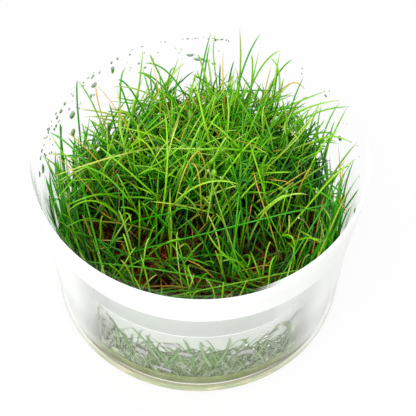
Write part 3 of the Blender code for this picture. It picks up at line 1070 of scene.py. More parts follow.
@dataclass
class Canopy:
    """How leaves grow in the cup: how high, how thick and within which walls."""

    cup: CultureCup
    middle_height: float = 50.0 * MM
    slope: float = 0.14
    back_fall: float = 15.0 * MM
    side_rise: float = 6.0 * MM
    dip: float = 17.0 * MM
    flank_fall: Range = (28 * MM, 6 * MM)
    dent: float = 9.0 * MM
    dent_at: Range = (-23 * MM, 21 * MM)
    dent_width: float = 12 * MM
    peak: float = 5.0 * MM
    peak_at: Range = (7 * MM, 20 * MM)
    peak_width: float = 12 * MM
    back_height: float = 40 * MM
    side_height: float = 53 * MM
    side_end: float = 14 * MM
    front_height: float = 32 * MM
    front_end: float = -14 * MM
    side_fade: float = 12 * MM
    dark_below: float = 24 * MM
    wall_room: float = 0.5 * MM
    full_from: float = -10 * MM
    full_curve: float = 12.0
    full_fade: float = 12 * MM
    beside: tuple[Range, ...] = ((-27 * MM, 0.0), (-18 * MM, 0.6), (10 * MM, 1.25), (1.0, 0.5))
    outer_leaves_from: Range = (24 * MM, 32 * MM)

    def height(self, x: float, y: float) -> float:
        """The height that most leaves reach over a point.

        Args:
            x: The point's X, or many.
            y: Its Y, or many.

        Returns:
            The height: with a peak at the back, lower at the back's left and right, and dipping in front.
        """
        bowl = self.side_rise * (x / self.cup.rim_radius) ** 2
        back = np.maximum(y, 0) / self.cup.rim_radius
        flank = np.where(x < 0, *self.flank_fall) * back * (x / self.cup.rim_radius) ** 2
        bowl = bowl - self.back_fall * back**2 - flank + self.peak * self.near_peak(x, y)
        away = ((x - self.dent_at[0]) ** 2 + (y - self.dent_at[1]) ** 2) / self.dent_width**2
        dips = self.dip * (1 - self.fullness(x, y)) + self.dent * np.exp(-away)
        return self.middle_height + self.slope * y + bowl - dips

    def near_peak(self, x: float, y: float) -> float:
        """1 under the canopy's highest part and towards 0 away from it."""
        return np.exp(-((x - self.peak_at[0]) ** 2 + (y - self.peak_at[1]) ** 2) / self.peak_width**2)

    def wall_height(self, y: float) -> float:
        """The height that leaves by the wall reach: near the rim at the sides, lower behind and in front."""
        side = min(max((self.side_end - y) / self.side_fade, 0), 1)
        front = min(max((self.front_end - y) / self.side_fade, 0), 1)
        height = self.back_height + (self.side_height - self.back_height) * side
        return height + (self.front_height - self.side_height) * front

    def depth(self, points: np.ndarray) -> np.ndarray:
        """How deep under the canopy points lie, from 0 at its top to 1 in the dark; the leaves' finish paints
        shade by it.
        """
        return np.clip((self.height(points[:, 0], points[:, 1]) - points[:, 2]) / self.dark_below, 0, 1)

    def inside(self, point: Vector) -> bool:
        """True where a point is clear of the wall."""
        return math.hypot(point.x, point.y) < self.cup.inner(point.z) - self.wall_room

    def holds(self, leaf: Bow, over: float) -> bool:
        """True where a whole leaf keeps within the cup and no more than so far over the canopy."""
        base, control, tip = leaf
        for t in (0.0, 0.25, 0.5, 0.75, 1.0):
            point = base * (1 - t) ** 2 + control * 2 * t * (1 - t) + tip * t**2
            if not self.inside(point) or point.z > self.height(point.x, point.y) + over:
                return False
        return True

    def fullness(self, x: float, y: float) -> float:
        """0 along the front wall, where few leaves grow, and 1 from the middle back."""
        front = self.full_from + self.full_curve * x**2
        return np.clip((y - front) / self.full_fade, 0, 1)

    def along_the_wall(self, point: Vector) -> float:
        """How thick leaves stand by the wall: most beside the middle, and none in front or far from it."""
        start, end = self.outer_leaves_from
        near = min(max((math.hypot(point.x, point.y) - start) / (end - start), 0), 1)
        return near * next(share for until, share in self.beside if point.y < until)


class Place(Enum):
    """Where in the cup a layer grows."""

    ANYWHERE = 0
    WALL = 1
    FRONT = 2
    PEAK = 3


@dataclass(frozen=True)
class Layer:
    """One storey of the foliage, by what its leaves have in common.

    Each plantlet has some fans of leaves. Ranges tell how high a fan is raised over the mat, how far its
    leaves lean from the upright in degrees, how long they are, how far they may reach over the canopy
    and how light they are. A share of the fans grows in front, where the stand is thin.
    """

    fans: int
    leaves_per_fan: int
    raised: Range
    lean: Range
    length: Range
    over: Range
    tone: Range
    front_share: float
    place: Place = Place.ANYWHERE


def storey(fans: int, leaves: int, *ranges: Range | float | Place) -> Layer:
    """A layer, from its values in order, with its lengths in millimetres."""
    raised, lean, length, over, *rest = ranges
    raised, length, over = (tuple(end * MM for end in ends) for ends in (raised, length, over))
    return Layer(fans, leaves, raised, lean, length, over, *rest)


# Tones: lower storeys are darker as painted shade, and tones near 1 or over give the leaves' painted highlight
# Leaves under the canopy, low and high fans, leaves that top it, then those by the wall, in front, at the peak
LAYERS = (
    storey(44, 1, (0, 0), (4, 56), (24, 42), (-18, -4), (0.0, 0.4), 0.08),
    storey(3, 7, (2, 14), (8, 78), (17, 34), (-9, 1), (0.1, 0.75), 0.1),
    storey(3, 8, (15, 28), (8, 82), (11, 30), (-4, 6), (0.25, 0.95), 0.0),
    storey(14, 1, (1, 14), (6, 58), (30, 50), (-4, 10), (0.45, 1.1), 0.15),
    storey(44, 1, (0, 6), (0, 0), (0, 0), (-12, 3), (0.4, 1.1), 0.0, Place.WALL),
    storey(6, 1, (0, 8), (56, 88), (15, 32), (-5, 3), (0.0, 0.8), 0.0, Place.FRONT),
    storey(15, 1, (2, 16), (0, 38), (36, 56), (0, 17), (0.35, 1.1), 0.0, Place.PEAK),
)


def radial(turn: float) -> Vector:
    """The level unit direction at an angle from +X."""
    return Vector((math.cos(turn), math.sin(turn), 0))


@dataclass
class Growth:
    """How the leaves of one plantlet fan out."""

    canopy: Canopy
    ground: "RootMat"
    rng: random.Random
    crown: Vector
    spread: float = 6.5 * MM
    reach: float = 38.4 * MM
    cup_radius: float = 42 * MM
    out_pull: float = 0.6
    sunk: float = 0.5 * MM
    rise: tuple[float, float, float] = (0.02, 0.26, 0.10)
    bend: float = 0.08
    bends_at: Range = (0.42, 0.6)
    shorter: tuple[float, ...] = (1.0, 1.0, 0.95, 0.95, 0.9, 0.9, 0.8, 0.8, 0.7, 0.6, 0.5)
    stem_over: float = -5 * MM
    fan_room: float = 0.6 * MM
    wall_turn: float = 0.17
    wall_lean: float = 0.85
    wall_foot: Range = (0 * MM, 3 * MM)
    wall_tip: tuple[float, float, float] = (0.55 * MM, 7 * MM, 0.55 * MM)
    wall_bow: Range = (-0.06, 0.02)
    wall_rise: Range = (0.05, 0.2)
    wall_tries: int = 5

    def direction(self, lean: Range) -> Vector:
        """A unit direction within a range of angles from the upright, drawn away from the cup's axis."""
        tilt = math.radians(self.rng.uniform(*lean))
        flat = radial(self.rng.uniform(0, 2 * math.pi))
        flat += Vector((self.crown.x, self.crown.y, 0)) / (40 * MM) * self.out_pull
        flat.normalize()
        return flat * math.sin(tilt) + Vector((0, 0, math.cos(tilt)))

    def foot(self) -> Vector:
        """A point on the mat near the crown."""
        out, turn = self.spread * math.sqrt(self.rng.random()), self.rng.uniform(0, 2 * math.pi)
        x, y = self.crown.x + out * math.cos(turn), self.crown.y + out * math.sin(turn)
        within = min(1, self.reach / math.hypot(x, y))
        x, y = x * within, y * within
        return Vector((x, y, self.ground.height(x, y) - self.sunk))

    def leaf(self, base: Vector, lean: Range, length: float) -> Bow:
        """A leaf that starts steeper than it ends.

        Args:
            base: Where it starts.
            lean: The range of its angle from the upright, in degrees.
            length: How long it is.

        Returns:
            Its base, control point and tip.
        """
        way = self.direction(lean)
        tip = base + way * length
        rise = self.rng.triangular(*self.rise) * length
        aside = way.cross(Vector((0, 0, 1)))
        bend = self.rng.uniform(-self.bend, self.bend) * length
        control = base.lerp(tip, self.rng.uniform(*self.bends_at)) + Vector((0, 0, rise)) + aside * bend
        return base, control, tip

    def along_wall(self, layer: Layer) -> Bow | None:
        """A leaf that stands by the wall and leans along it, or None if it would cross the wall."""
        turn = math.atan2(self.crown.y, self.crown.x) + self.rng.gauss(0, self.wall_turn)
        out = self.reach - self.rng.uniform(*self.wall_foot)
        x, y = out * math.cos(turn), out * math.sin(turn)
        base = Vector((x, y, self.ground.height(x, y) + self.rng.uniform(*layer.raised)))
        turn += self.rng.gauss(0, self.wall_lean)
        x, y = self.cup_radius * math.cos(turn), self.cup_radius * math.sin(turn)
        height = self.canopy.wall_height(y) + self.rng.uniform(*layer.over)
        out = self.canopy.cup.inner(height) - self.rng.triangular(*self.wall_tip)
        tip = Vector((out * math.cos(turn), out * math.sin(turn), height))
        control = base.lerp(tip, 0.5) + Vector((-x, -y, 0)) * self.rng.uniform(*self.wall_bow)
        control.z += self.rng.uniform(*self.wall_rise) * (tip - base).length
        leaf = (base, control, tip)
        return leaf if self.canopy.holds(leaf, 1) else None

    def grown(self, base: Vector, layer: Layer) -> Bow | None:
        """A leaf of a layer that fits in the cup, made shorter where it needs be, or None."""
        if layer.place is Place.WALL:
            return next(filter(None, (self.along_wall(layer) for _ in range(self.wall_tries))), None)
        over = self.rng.uniform(*layer.over)
        for share in self.shorter:
            leaf = self.leaf(base, layer.lean, self.rng.uniform(*layer.length) * share)
            if self.canopy.holds(leaf, over):
                return leaf
        return None

    def leaves(self, layer: Layer) -> Iterator[tuple]:
        """The plantlet's leaves in one layer, each with its tone."""
        fullness = self.canopy.fullness(self.crown.x, self.crown.y)
        share = {
            Place.ANYWHERE: layer.front_share + (1 - layer.front_share) * fullness,
            Place.WALL: self.canopy.along_the_wall(self.crown),
            Place.FRONT: 1 - fullness,
            Place.PEAK: self.canopy.near_peak(self.crown.x, self.crown.y),
        }[layer.place]
        for _ in range(int(layer.fans * share + self.rng.random())):
            foot = self.foot()
            base = foot + Vector((0, 0, self.rng.uniform(*layer.raised)))
            if layer.leaves_per_fan > 1:
                stem = (foot, foot.lerp(base, 0.5), base)
                if not self.canopy.holds(stem, self.stem_over):
                    continue
                yield (*stem, 0.1)
            for _ in range(layer.leaves_per_fan):
                leaf = self.grown(base + self.direction((0, 90)) * self.fan_room, layer)
                if leaf:
                    # Painted shade: tones fall to half towards the front, where the stand is thin
                    yield (*leaf, self.rng.uniform(*layer.tone) * (0.5 + 0.5 * fullness))


@dataclass
class Plantlets:
    """All the plantlets, each one a piece of many leaves that stands for its solid."""

    canopy: Canopy
    ground: "RootMat"
    radius: float = 0.265 * MM
    dry_share: float = 0.015
    dry_in_front: float = 0.03
    seed: int = 5

    def __post_init__(self) -> None:
        """Starts with no places for dew."""
        self.perches: list[Vector] = []

    def perch(self, lines: Lines, rng: random.Random) -> None:
        """Keeps a few places on upper leaves for dew."""
        for i in rng.sample(range(len(lines.radius)), 3):
            place = lines.at(np.array([rng.uniform(0.35, 0.95)]))[0][i, 0]
            self.perches.append(Vector(place) + Vector((0, 0, lines.radius[i])))

    def lines(self, leaves: list, rng: random.Random, dry_share: float) -> Lines:
        """Centre lines of leaves that have base, control point, tip and tone."""
        arrays = [np.array([tuple(leaf[i]) for leaf in leaves]) for i in range(3)]

        def age() -> float:
            """An age near 1 for the dry share of the leaves, and near 0 for the others."""
            return rng.uniform(0.7, 1.0) if rng.random() < dry_share else rng.random() ** 9 * 0.4

        ages = [age() for _ in leaves]
        return Lines(
            *arrays,
            radius=np.array([self.radius * rng.uniform(0.8, 1.2) * (1 - 0.3 * (age > 0.6)) for age in ages]),
            tone=np.array([leaf[3] for leaf in leaves]),
            age=np.array(ages),
            wobble=np.array([rng.uniform(-0.3, 0.3) for _ in leaves]),
        )

    def plantlet(self, name: str, rng: random.Random) -> Lines:
        """The centre lines of a plantlet's leaves: those of its solid, and those that grow between them.

        Args:
            name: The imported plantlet.
            rng: Where its random numbers come from.

        Returns:
            The lines.
        """
        solid = [(*bow, rng.uniform(0.35, 1.0)) for bow in bows_of(name)]
        crown = sum((leaf[0] for leaf in solid), Vector()) / len(solid)
        growth = Growth(self.canopy, self.ground, rng, crown)
        more = [leaf for layer in LAYERS for leaf in growth.leaves(layer)]
        thin = 1 - self.canopy.fullness(crown.x, crown.y)
        lines = self.lines(solid + more, rng, self.dry_share + self.dry_in_front * thin)
        self.perch(lines, rng)
        return lines

    def build(self) -> None:
        """Models every plantlet and every dry leaf."""
        master = Strand("leaf_master", 5, 10)
        material = LeafFinish().material()
        for name in sorted(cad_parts):
            rng = random.Random(f"{self.seed} {name}")
            if name.startswith("tuft_"):
                lines, slot = self.plantlet(name, rng), Slot.GREEN
            elif name.startswith("dry_leaf_"):
                lines, slot = self.lines([(*bow, rng.random()) for bow in bows_of(name)], rng, 1.0), Slot.DRY
            else:
                continue
            shown = name.replace("tuft", "plantlet").replace("dry", "dead")
            settle(strand_piece(shown, master, lines, material, depth=self.canopy.depth), slot, name)


# Leaves that stand out: base, a place on the way and tip, in mm, then tone and age
NOTED_LEAVES = (
    ((15, 21, 22), (22, 21.5, 45), (38, 23.6, 53), 0.85, 0.0),
    ((14, 19, 24), (26, 19.5, 47.5), (40.4, 21, 53.5), 0.65, 0.0),
    ((-10, 5, 24), (-5.5, 12.5, 42), (3, 23.8, 52), 0.95, 0.0),
    ((-8, 0, 25), (0, 5, 44), (14.8, 15.8, 50), 0.95, 0.0),
    ((-8, -2, 36), (1, -3, 50), (11, -2, 48), 0.9, 0.0),
    ((24, 13, 26), (31, 14.5, 46), (41, 10.5, 51), 0.75, 0.0),
    ((-36, 6, 22), (-38, 10, 42), (-37.8, 14.9, 50), 0.4, 0.0),
    ((-22, 2, 24), (-31, 6, 43), (-41, 4, 51.5), 0.7, 0.0),
    ((-20, -1, 24), (-28, -3, 40), (-36, -8, 41), 0.8, 0.0),
    ((2, -3, 30), (3, -1.5, 42), (3.6, -0.3, 51), 0.95, 0.0),
    ((-9, 4, 30), (-9, 6, 47), (-6, 12, 58), 1.0, 0.0),
    ((-8, 3, 30), (-3, 8, 50), (1, 13, 57), 0.9, 0.0),
    ((-7, 4, 30), (1, 12, 51), (5, 16, 56), 0.8, 0.0),
    ((-11, -2, 28), (-9, 3, 47), (-10, 16, 57), 0.85, 0.0),
    ((-10, 0, 36), (-21, 2, 50), (-28, 8, 51), 0.7, 0.0),
    ((-18, -2, 36), (-26, 1, 47), (-35, 4, 46), 0.6, 0.0),
    ((-26, 5, 36), (-34, 8, 48), (-41, 11, 52), 0.5, 0.0),
    ((-37, 9, 24), (-38, 12, 46), (-38, 13, 53), 0.2, 0.0),
    ((-33, 17, 30), (-34, 21, 50), (-34, 25, 57), 0.3, 0.0),
    ((-18, 22, 36), (-21, 25, 48), (-23, 27, 54), 0.4, 0.0),
    ((-7, 30, 40), (-13, 31, 50), (-18, 31, 53), 0.5, 0.0),
    ((0, -2, 34), (11, 7, 51), (16, 12, 50), 0.85, 0.0),
    ((19, 0, 34), (16, 2, 47), (13, 7, 55), 0.8, 0.0),
    ((15, -5, 36), (20, -6, 47), (24, -4, 47), 0.9, 0.0),
    ((22, -9, 34), (25, -13, 40), (26, -14, 32), 0.8, 0.0),
    ((25, -9, 30), (30, -13, 40), (34, -15, 38), 0.7, 0.0),
    ((10, 12, 40), (13, 14, 51), (16, 19, 57), 0.6, 0.0),
    ((19, 28, 36), (20, 30, 50), (20, 30, 60), 0.6, 0.0),
    ((0, 4, 38), (4, 7, 49), (7, 10, 54), 0.95, 0.0),
    ((-10, -11, 22), (-4, -14, 30), (4, -15, 27), 0.6, 0.0),
    ((-23, -19, 22), (-17, -16, 30), (-10, -13, 27), 0.55, 0.0),
    ((-9, -13, 24), (-6, -17, 28), (0, -21, 20), 0.5, 0.0),
    ((-8, -8, 28), (-5, -14, 31), (0, -19, 20), 0.6, 0.0),
    ((-28, -12, 20), (-24, -9, 28), (-20, -8, 30), 0.5, 0.0),
    ((14, -10, 28), (16, -16, 29), (18, -18, 20), 0.7, 0.0),
    ((24, -7, 28), (26, -13, 32), (25, -16, 22), 0.75, 0.0),
    ((1, -10, 24), (7, -13, 30), (14, -14, 25), 0.65, 0.0),
    ((12, 29, 44), (16, 32, 56), (20.8, 33, 62), 0.7, 0.0),
    ((17, 27, 42), (20, 30, 54), (24.3, 31.7, 60), 0.45, 0.0),
    ((20.5, 27, 42), (20.8, 29, 56), (18, 30.4, 62), 0.8, 0.0),
    ((13, 29, 42), (13.5, 32, 54), (12.9, 33, 60), 0.75, 0.0),
    ((3, 29, 42), (0, 32, 54), (-1.5, 32.6, 60), 0.8, 0.0),
    ((-8, 30, 40), (-12.7, 33, 52), (-14.6, 33.6, 58), 0.65, 0.0),
    ((-4, 30, 42), (-10, 31, 54), (-16, 31.3, 57), 0.5, 0.0),
    ((-9, 28, 40), (-14, 30, 51), (-18, 29.4, 55), 0.6, 0.0),
    ((-15, 26, 38), (-20, 27.8, 50), (-23.3, 27.6, 54), 0.45, 0.0),
    ((19, 28, 45), (24, 28, 54), (28, 27.4, 52), 0.2, 0.95),
    ((-6, 27, 40), (-4, 27, 44), (-2, 27, 48), 0.0, 0.6),
    ((-4, 26, 40), (-2, 27.8, 44), (1, 27, 48.5), 0.0, 0.75),
    ((0, 26, 40), (-3, 27, 43.5), (-5, 28, 47.5), 0.1, 0.7),
    ((-25, 18, 38), (-28, 21, 50), (-29, 24, 57), 0.2, 0.9),
    ((-10.5, 12, 24), (-8.5, 15.5, 42), (-6, 17.4, 52), 1.0, 0.6),
    ((0.5, -4, 36), (-0.5, 0.5, 49), (-2.8, 3.2, 50), 0.3, 0.9),
    ((-7, -1, 34), (-3.5, 3, 50), (0.8, 6.6, 52), 0.6, 0.9),
    ((7, 16, 40), (9.6, 15.1, 48), (11, 14.2, 45), 0.2, 0.9),
    ((26, 4, 30), (28, 4, 43), (29.9, 5.2, 47), 0.3, 0.9),
    ((-33, -4, 20), (-26.4, -5.9, 25), (-19.5, -5.2, 23), 0.9, 0.9),
    ((2.3, -15.3, 22), (2.6, -16, 20.5), (3.3, -16.8, 16.5), 1.0, 0.95),
    ((-7, -17.5, 16.5), (-4.1, -17.8, 20), (-1.5, -18.6, 22), 1.0, 0.95),
)


@dataclass
class StandingLeaves:
    """The leaves that stand out, a flower bud on one of them, and dew."""

    perches: list[Vector]
    radius: float = 0.27 * MM
    withered: float = 0.75
    bud_tip: Vector = Vector((3.6, -0.3, 51)) * MM
    bud_size: tuple[float, float, float] = (0.75 * MM, 0.75 * MM, 1.5 * MM)
    bead: Range = (0.14 * MM, 0.36 * MM)
    seed: int = 12

    def leaves(self) -> None:
        """Models the leaves."""
        *places, tones, ages = zip(*NOTED_LEAVES)
        base, on_the_way, tip = (np.array(place) * MM for place in places)
        lines = Lines(
            base=base,
            control=on_the_way * 2 - (base + tip) / 2,
            tip=tip,
            radius=np.array([self.radius * (self.withered if age else 1) for age in ages]),
            tone=np.array(tones),
            age=np.array(ages),
            wobble=np.zeros(len(ages)),
        )
        finish = LeafFinish("standing_leaf").material()
        settle(strand_piece("standing_leaves", Strand("standing_master", 6, 14), lines, finish), Slot.GREEN)

    def bud(self) -> None:
        """Models the flower bud."""
        deselect()
        bpy.ops.mesh.primitive_uv_sphere_add(segments=12, ring_count=8, radius=1, location=self.bud_tip)
        bud = named("flower_bud")
        bud.scale = self.bud_size
        bud.data.shade_smooth()
        bud.data.materials.append(LeafFinish("bud_green", sheath=srgb(150, 215, 50)).material())
        settle(bud, Slot.GREEN)

    def dew(self) -> None:
        """Models the beads of water as one piece."""
        rng = random.Random(self.seed)
        deselect()
        beads = []
        for perch in self.perches:
            size = rng.triangular(*self.bead, self.bead[0])
            bpy.ops.mesh.primitive_ico_sphere_add(subdivisions=2, radius=size, location=perch)
            beads.append(bpy.context.object)
        for bead in beads:
            bead.select_set(True)
        bpy.context.view_layer.objects.active = beads[0]
        bpy.ops.object.join()
        dew = named("dew")
        dew.data.shade_smooth()
        # Painted glint: the beads are near white and mostly opaque, not clear water
        dew.data.materials.append(WaterFinish("dew_painted_glint", srgb(248, 252, 246), 0.15).material())
        settle(dew, Slot.CUP)

    def build(self) -> None:
        """Models all of them."""
        self.leaves()
        self.bud()
        self.dew()


@dataclass
class RootMat:
    """The mat of roots over the gel: its rough body and the felt of fibres on it."""

    cup: CultureCup
    fibres: int = 1500
    bundles: int = 190
    in_bundle: int = 8
    fibre_radius: float = 0.16 * MM
    edge_room: float = 1.2 * MM
    rim_below_top: float = 2.5 * MM
    clump: float = 3.0 * MM
    clump_height: float = 2.0 * MM
    seed: int = 3

    def __post_init__(self) -> None:
        """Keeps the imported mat's surface, to lay things on."""
        mesh = bmesh.new()
        mesh.from_mesh(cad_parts["root_mat"].data)
        self.surface = BVHTree.FromBMesh(mesh)
        self.low, self.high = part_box("root_mat")

    def height(self, x: float, y: float) -> float:
        """Height of the mat's top over a point, or of its rim outside it."""
        hit = self.surface.ray_cast(Vector((x, y, 1)), Vector((0, 0, -1)))[0]
        return hit.z if hit else self.high.z - self.rim_below_top

    def body(self) -> None:
        """Models the mat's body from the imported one, subdivided and roughened."""
        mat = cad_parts["root_mat"].copy()
        mat.data = mat.data.copy()
        mat.name = mat.data.name = "root_mat_body"
        for key in list(mat.keys()):
            del mat[key]
        mat.parent = None
        mat.data.materials.clear()
        bpy.context.scene.collection.objects.link(mat)
        outward(mat)
        finer = mat.modifiers.new("finer", "SUBSURF")
        finer.subdivision_type = "SIMPLE"
        finer.levels = finer.render_levels = 3
        clumps = bpy.data.textures.new("root_clumps", "CLOUDS")
        clumps.noise_scale = self.clump
        clumps.noise_depth = 4
        rough = mat.modifiers.new("rough", "DISPLACE")
        rough.texture = clumps
        rough.texture_coords = "LOCAL"
        rough.mid_level = 0.75
        rough.strength = self.clump_height
        apply_modifiers(mat)
        mat.data.shade_smooth()
        mat.data.materials.append(RootFinish("root_mat_body").material())
        settle(mat, Slot.ROOT, "root_mat")

    def fibre(self, rng: random.Random, middle: Vector, heading: float, length: float, lift: Range) -> Bow:
        """One fibre over the mat.

        Args:
            rng: Where its random numbers come from.
            middle: The middle of it, seen from above.
            heading: Its angle from +X.
            length: How long it is, seen from above.
            lift: How high over the mat its ends lie.

        Returns:
            One end, its control point and the other end.
        """
        reach = self.cup.inner(self.high.z) - self.edge_room
        ends = []
        for share in (-0.5, 0.5):
            end = middle + radial(heading) * length * share
            end *= min(1, reach / max(math.hypot(end.x, end.y), 1e-6))
            ends.append(Vector((end.x, end.y, self.height(end.x, end.y) + rng.uniform(*lift))))
        bend = (ends[0] + ends[1]) / 2 + Vector((rng.uniform(-2, 2) * MM, rng.uniform(-2, 2) * MM, 0))
        bend.z = self.height(bend.x, bend.y) + rng.uniform(0.2, 3.2) * MM
        return ends[0], bend, ends[1]

    def spot(self, rng: random.Random) -> Vector:
        """A place on the mat."""
        turn, out = rng.uniform(0, 2 * math.pi), (self.high.x - self.edge_room) * math.sqrt(rng.random())
        return radial(turn) * out

    def tangled(self, rng: random.Random) -> Iterator[tuple]:
        """Single fibres, each with its share of the full thickness and its tone."""
        for _ in range(self.fibres):
            length = rng.uniform(5, 17) * MM
            bow = self.fibre(rng, self.spot(rng), rng.uniform(0, 2 * math.pi), length, (-0.3 * MM, 0.5 * MM))
            yield (*bow, rng.uniform(0.5, 1.2), rng.betavariate(1.6, 2.6))

    def bundled(self, rng: random.Random) -> Iterator[tuple]:
        """Dead leaf bases in loose bundles, likewise."""
        for _ in range(self.bundles):
            middle, heading = self.spot(rng), rng.uniform(0, 2 * math.pi)
            for _ in range(self.in_bundle):
                place = middle + Vector((rng.gauss(0, 1.6), rng.gauss(0, 1.6), 0)) * MM
                length = rng.uniform(5, 12) * MM
                bow = self.fibre(rng, place, heading + rng.gauss(0, 0.22), length, (0.2 * MM, 3.0 * MM))
                yield (*bow, rng.uniform(1.1, 1.9), rng.uniform(0.3, 1.0))

    def felt(self) -> None:
        """Lays the fibres over the top of the mat."""
        rng = random.Random(self.seed)
        bows = [*self.tangled(rng), *self.bundled(rng)]
        lines = Lines(
            *(np.array([tuple(bow[i]) for bow in bows]) for i in range(3)),
            radius=np.array([self.fibre_radius * bow[3] for bow in bows]),
            tone=np.array([bow[4] for bow in bows]),
            age=np.zeros(len(bows)),
            wobble=np.array([rng.uniform(-0.5, 0.5) for _ in bows]),
        )
        finish = RootFinish("root_felt").material()
        settle(strand_piece("root_felt", Strand("root_master", 3, 6), lines, finish), Slot.ROOT)


# What clings to the wall


def on_wall(cup: CultureCup, bearing: float, height: float, inset: float) -> Vector:
    """A point at the cup's inside wall.

    Args:
        cup: The cup.
        bearing: Its direction from the axis, in degrees from +X.
        height: Its height.
        inset: How far in from the wall it lies.

    Returns:
        The point.
    """
    out, turn = cup.inner(height) - inset, math.radians(bearing)
    return Vector((out * math.cos(turn), out * math.sin(turn), height))


# Blades against the front wall: bearing in degrees and height in mm where each starts, passes and ends
PRESSED_BLADES = (
    ((-160, 20), (-151, 17), (-142, 9)),
    ((-163, 27), (-156, 21), (-147, 12)),
    ((-152, 25), (-145, 17), (-137, 10)),
    ((-137, 8), (-134, 19), (-131, 27)),
    ((-132, 26), (-130, 31), (-127, 28)),
    ((-128, 30), (-123, 24), (-123, 12)),
    ((-124, 25), (-120, 22), (-116, 14)),
    ((-116, 30), (-110, 24), (-104, 14)),
    ((-110, 29), (-105, 20), (-99, 11)),
    ((-118, 17), (-115, 11), (-109, 14)),
    ((-109, 19), (-108, 11), (-107, 6)),
    ((-101, 15), (-98, 20), (-96, 25)),
    ((-106, 18), (-99, 19), (-91, 15)),
    ((-95, 31), (-92, 23), (-90, 12)),
    ((-88, 30), (-87, 22), (-83, 13)),
    ((-85, 27), (-83, 21), (-80, 13)),
    ((-77, 31), (-78, 23), (-83, 12)),
    ((-77, 24), (-71, 27), (-68, 13)),
    ((-56, 29), (-60, 23), (-66, 13)),
    ((-56, 29), (-50, 21), (-54, 9)),
    ((-42, 24), (-46, 17), (-51, 8)),
    ((-30, 18), (-37, 13), (-45, 7)),
    ((-33, 29), (-39, 19), (-46, 10)),
    ((-23, 27), (-30, 18), (-39, 8)),
)

# Air trapped against the wall, likewise, with its width in mm
AIR_PATCHES = (
    ((-128, 22), (-126, 25), (-125, 28), 4.8),
    ((-115, 18), (-112, 18), (-109, 17), 4.5),
    ((-103, 25), (-99, 26), (-96, 26), 3.6),
    ((-97, 22), (-94, 22), (-91, 21), 3.3),
    ((-74, 19), (-70, 20), (-66, 18), 4.2),
    ((-62, 23), (-58, 25), (-55, 24), 3.9),
    ((-108, 11), (-104, 11), (-99, 10), 2.25),
    ((-52, 26), (-46, 27), (-42, 28), 3.3),
)


@dataclass
class WallStrokes:
    """Flat soft-edged strokes along the inside of the wall, seen through it and clear on their backs."""

    cup: CultureCup
    inset: float
    taper: float = 0.064
    thickness: float = 0.1 * MM
    faces_out: float = 0.55

    def line(self, start: Range, middle: Range, end: Range) -> tuple[Vector, Vector, Vector, Vector]:
        """A stroke through three places, each a bearing and a height in millimetres.

        Args:
            start: One end.
            middle: A place on the way.
            end: The other end.

        Returns:
            Its lower end, control point, upper end and broad direction.
        """
        ends = sorted((start, end), key=lambda place: place[1])
        places = (ends[0], middle, ends[1])
        a, m, b = (on_wall(self.cup, bearing, height * MM, self.inset) for bearing, height in places)
        out = Vector((m.x, m.y, -self.taper * math.hypot(m.x, m.y)))
        return a, m * 2 - (a + b) / 2, b, (b - a).cross(out).normalized()

    def lay(
        self, name: str, slot: Slot, strokes: list, widths: list, tones: list, finish: BlurredFinish
    ) -> None:
        """Models a set of strokes as one piece.

        Args:
            name: The piece's name.
            slot: Its material slot.
            strokes: Their lines.
            widths: How wide each is.
            tones: How light each is, from 0 to 1.
            finish: What they are of.
        """
        count = len(strokes)
        lines = Lines(
            *(np.array([tuple(stroke[i]) for stroke in strokes]) for i in range(3)),
            radius=np.array(widths) / 2,
            tone=np.array(tones),
            age=np.zeros(count),
            wobble=np.zeros(count),
            broad=np.array([tuple(stroke[3]) for stroke in strokes]),
        )
        thin = self.thickness / max(widths)
        piece = strand_piece(name, Strand(name + "_master", 10, 8), lines, finish.material(), thin)
        piece.data.materials.append(ClearPlastic("stroke_inside", 0.0, 0.0).material())
        for face in piece.data.polygons:
            out = Vector((face.center.x, face.center.y, 0)).normalized()
            if face.normal.dot(out) < self.faces_out:
                face.material_index = 1
        settle(piece, slot)


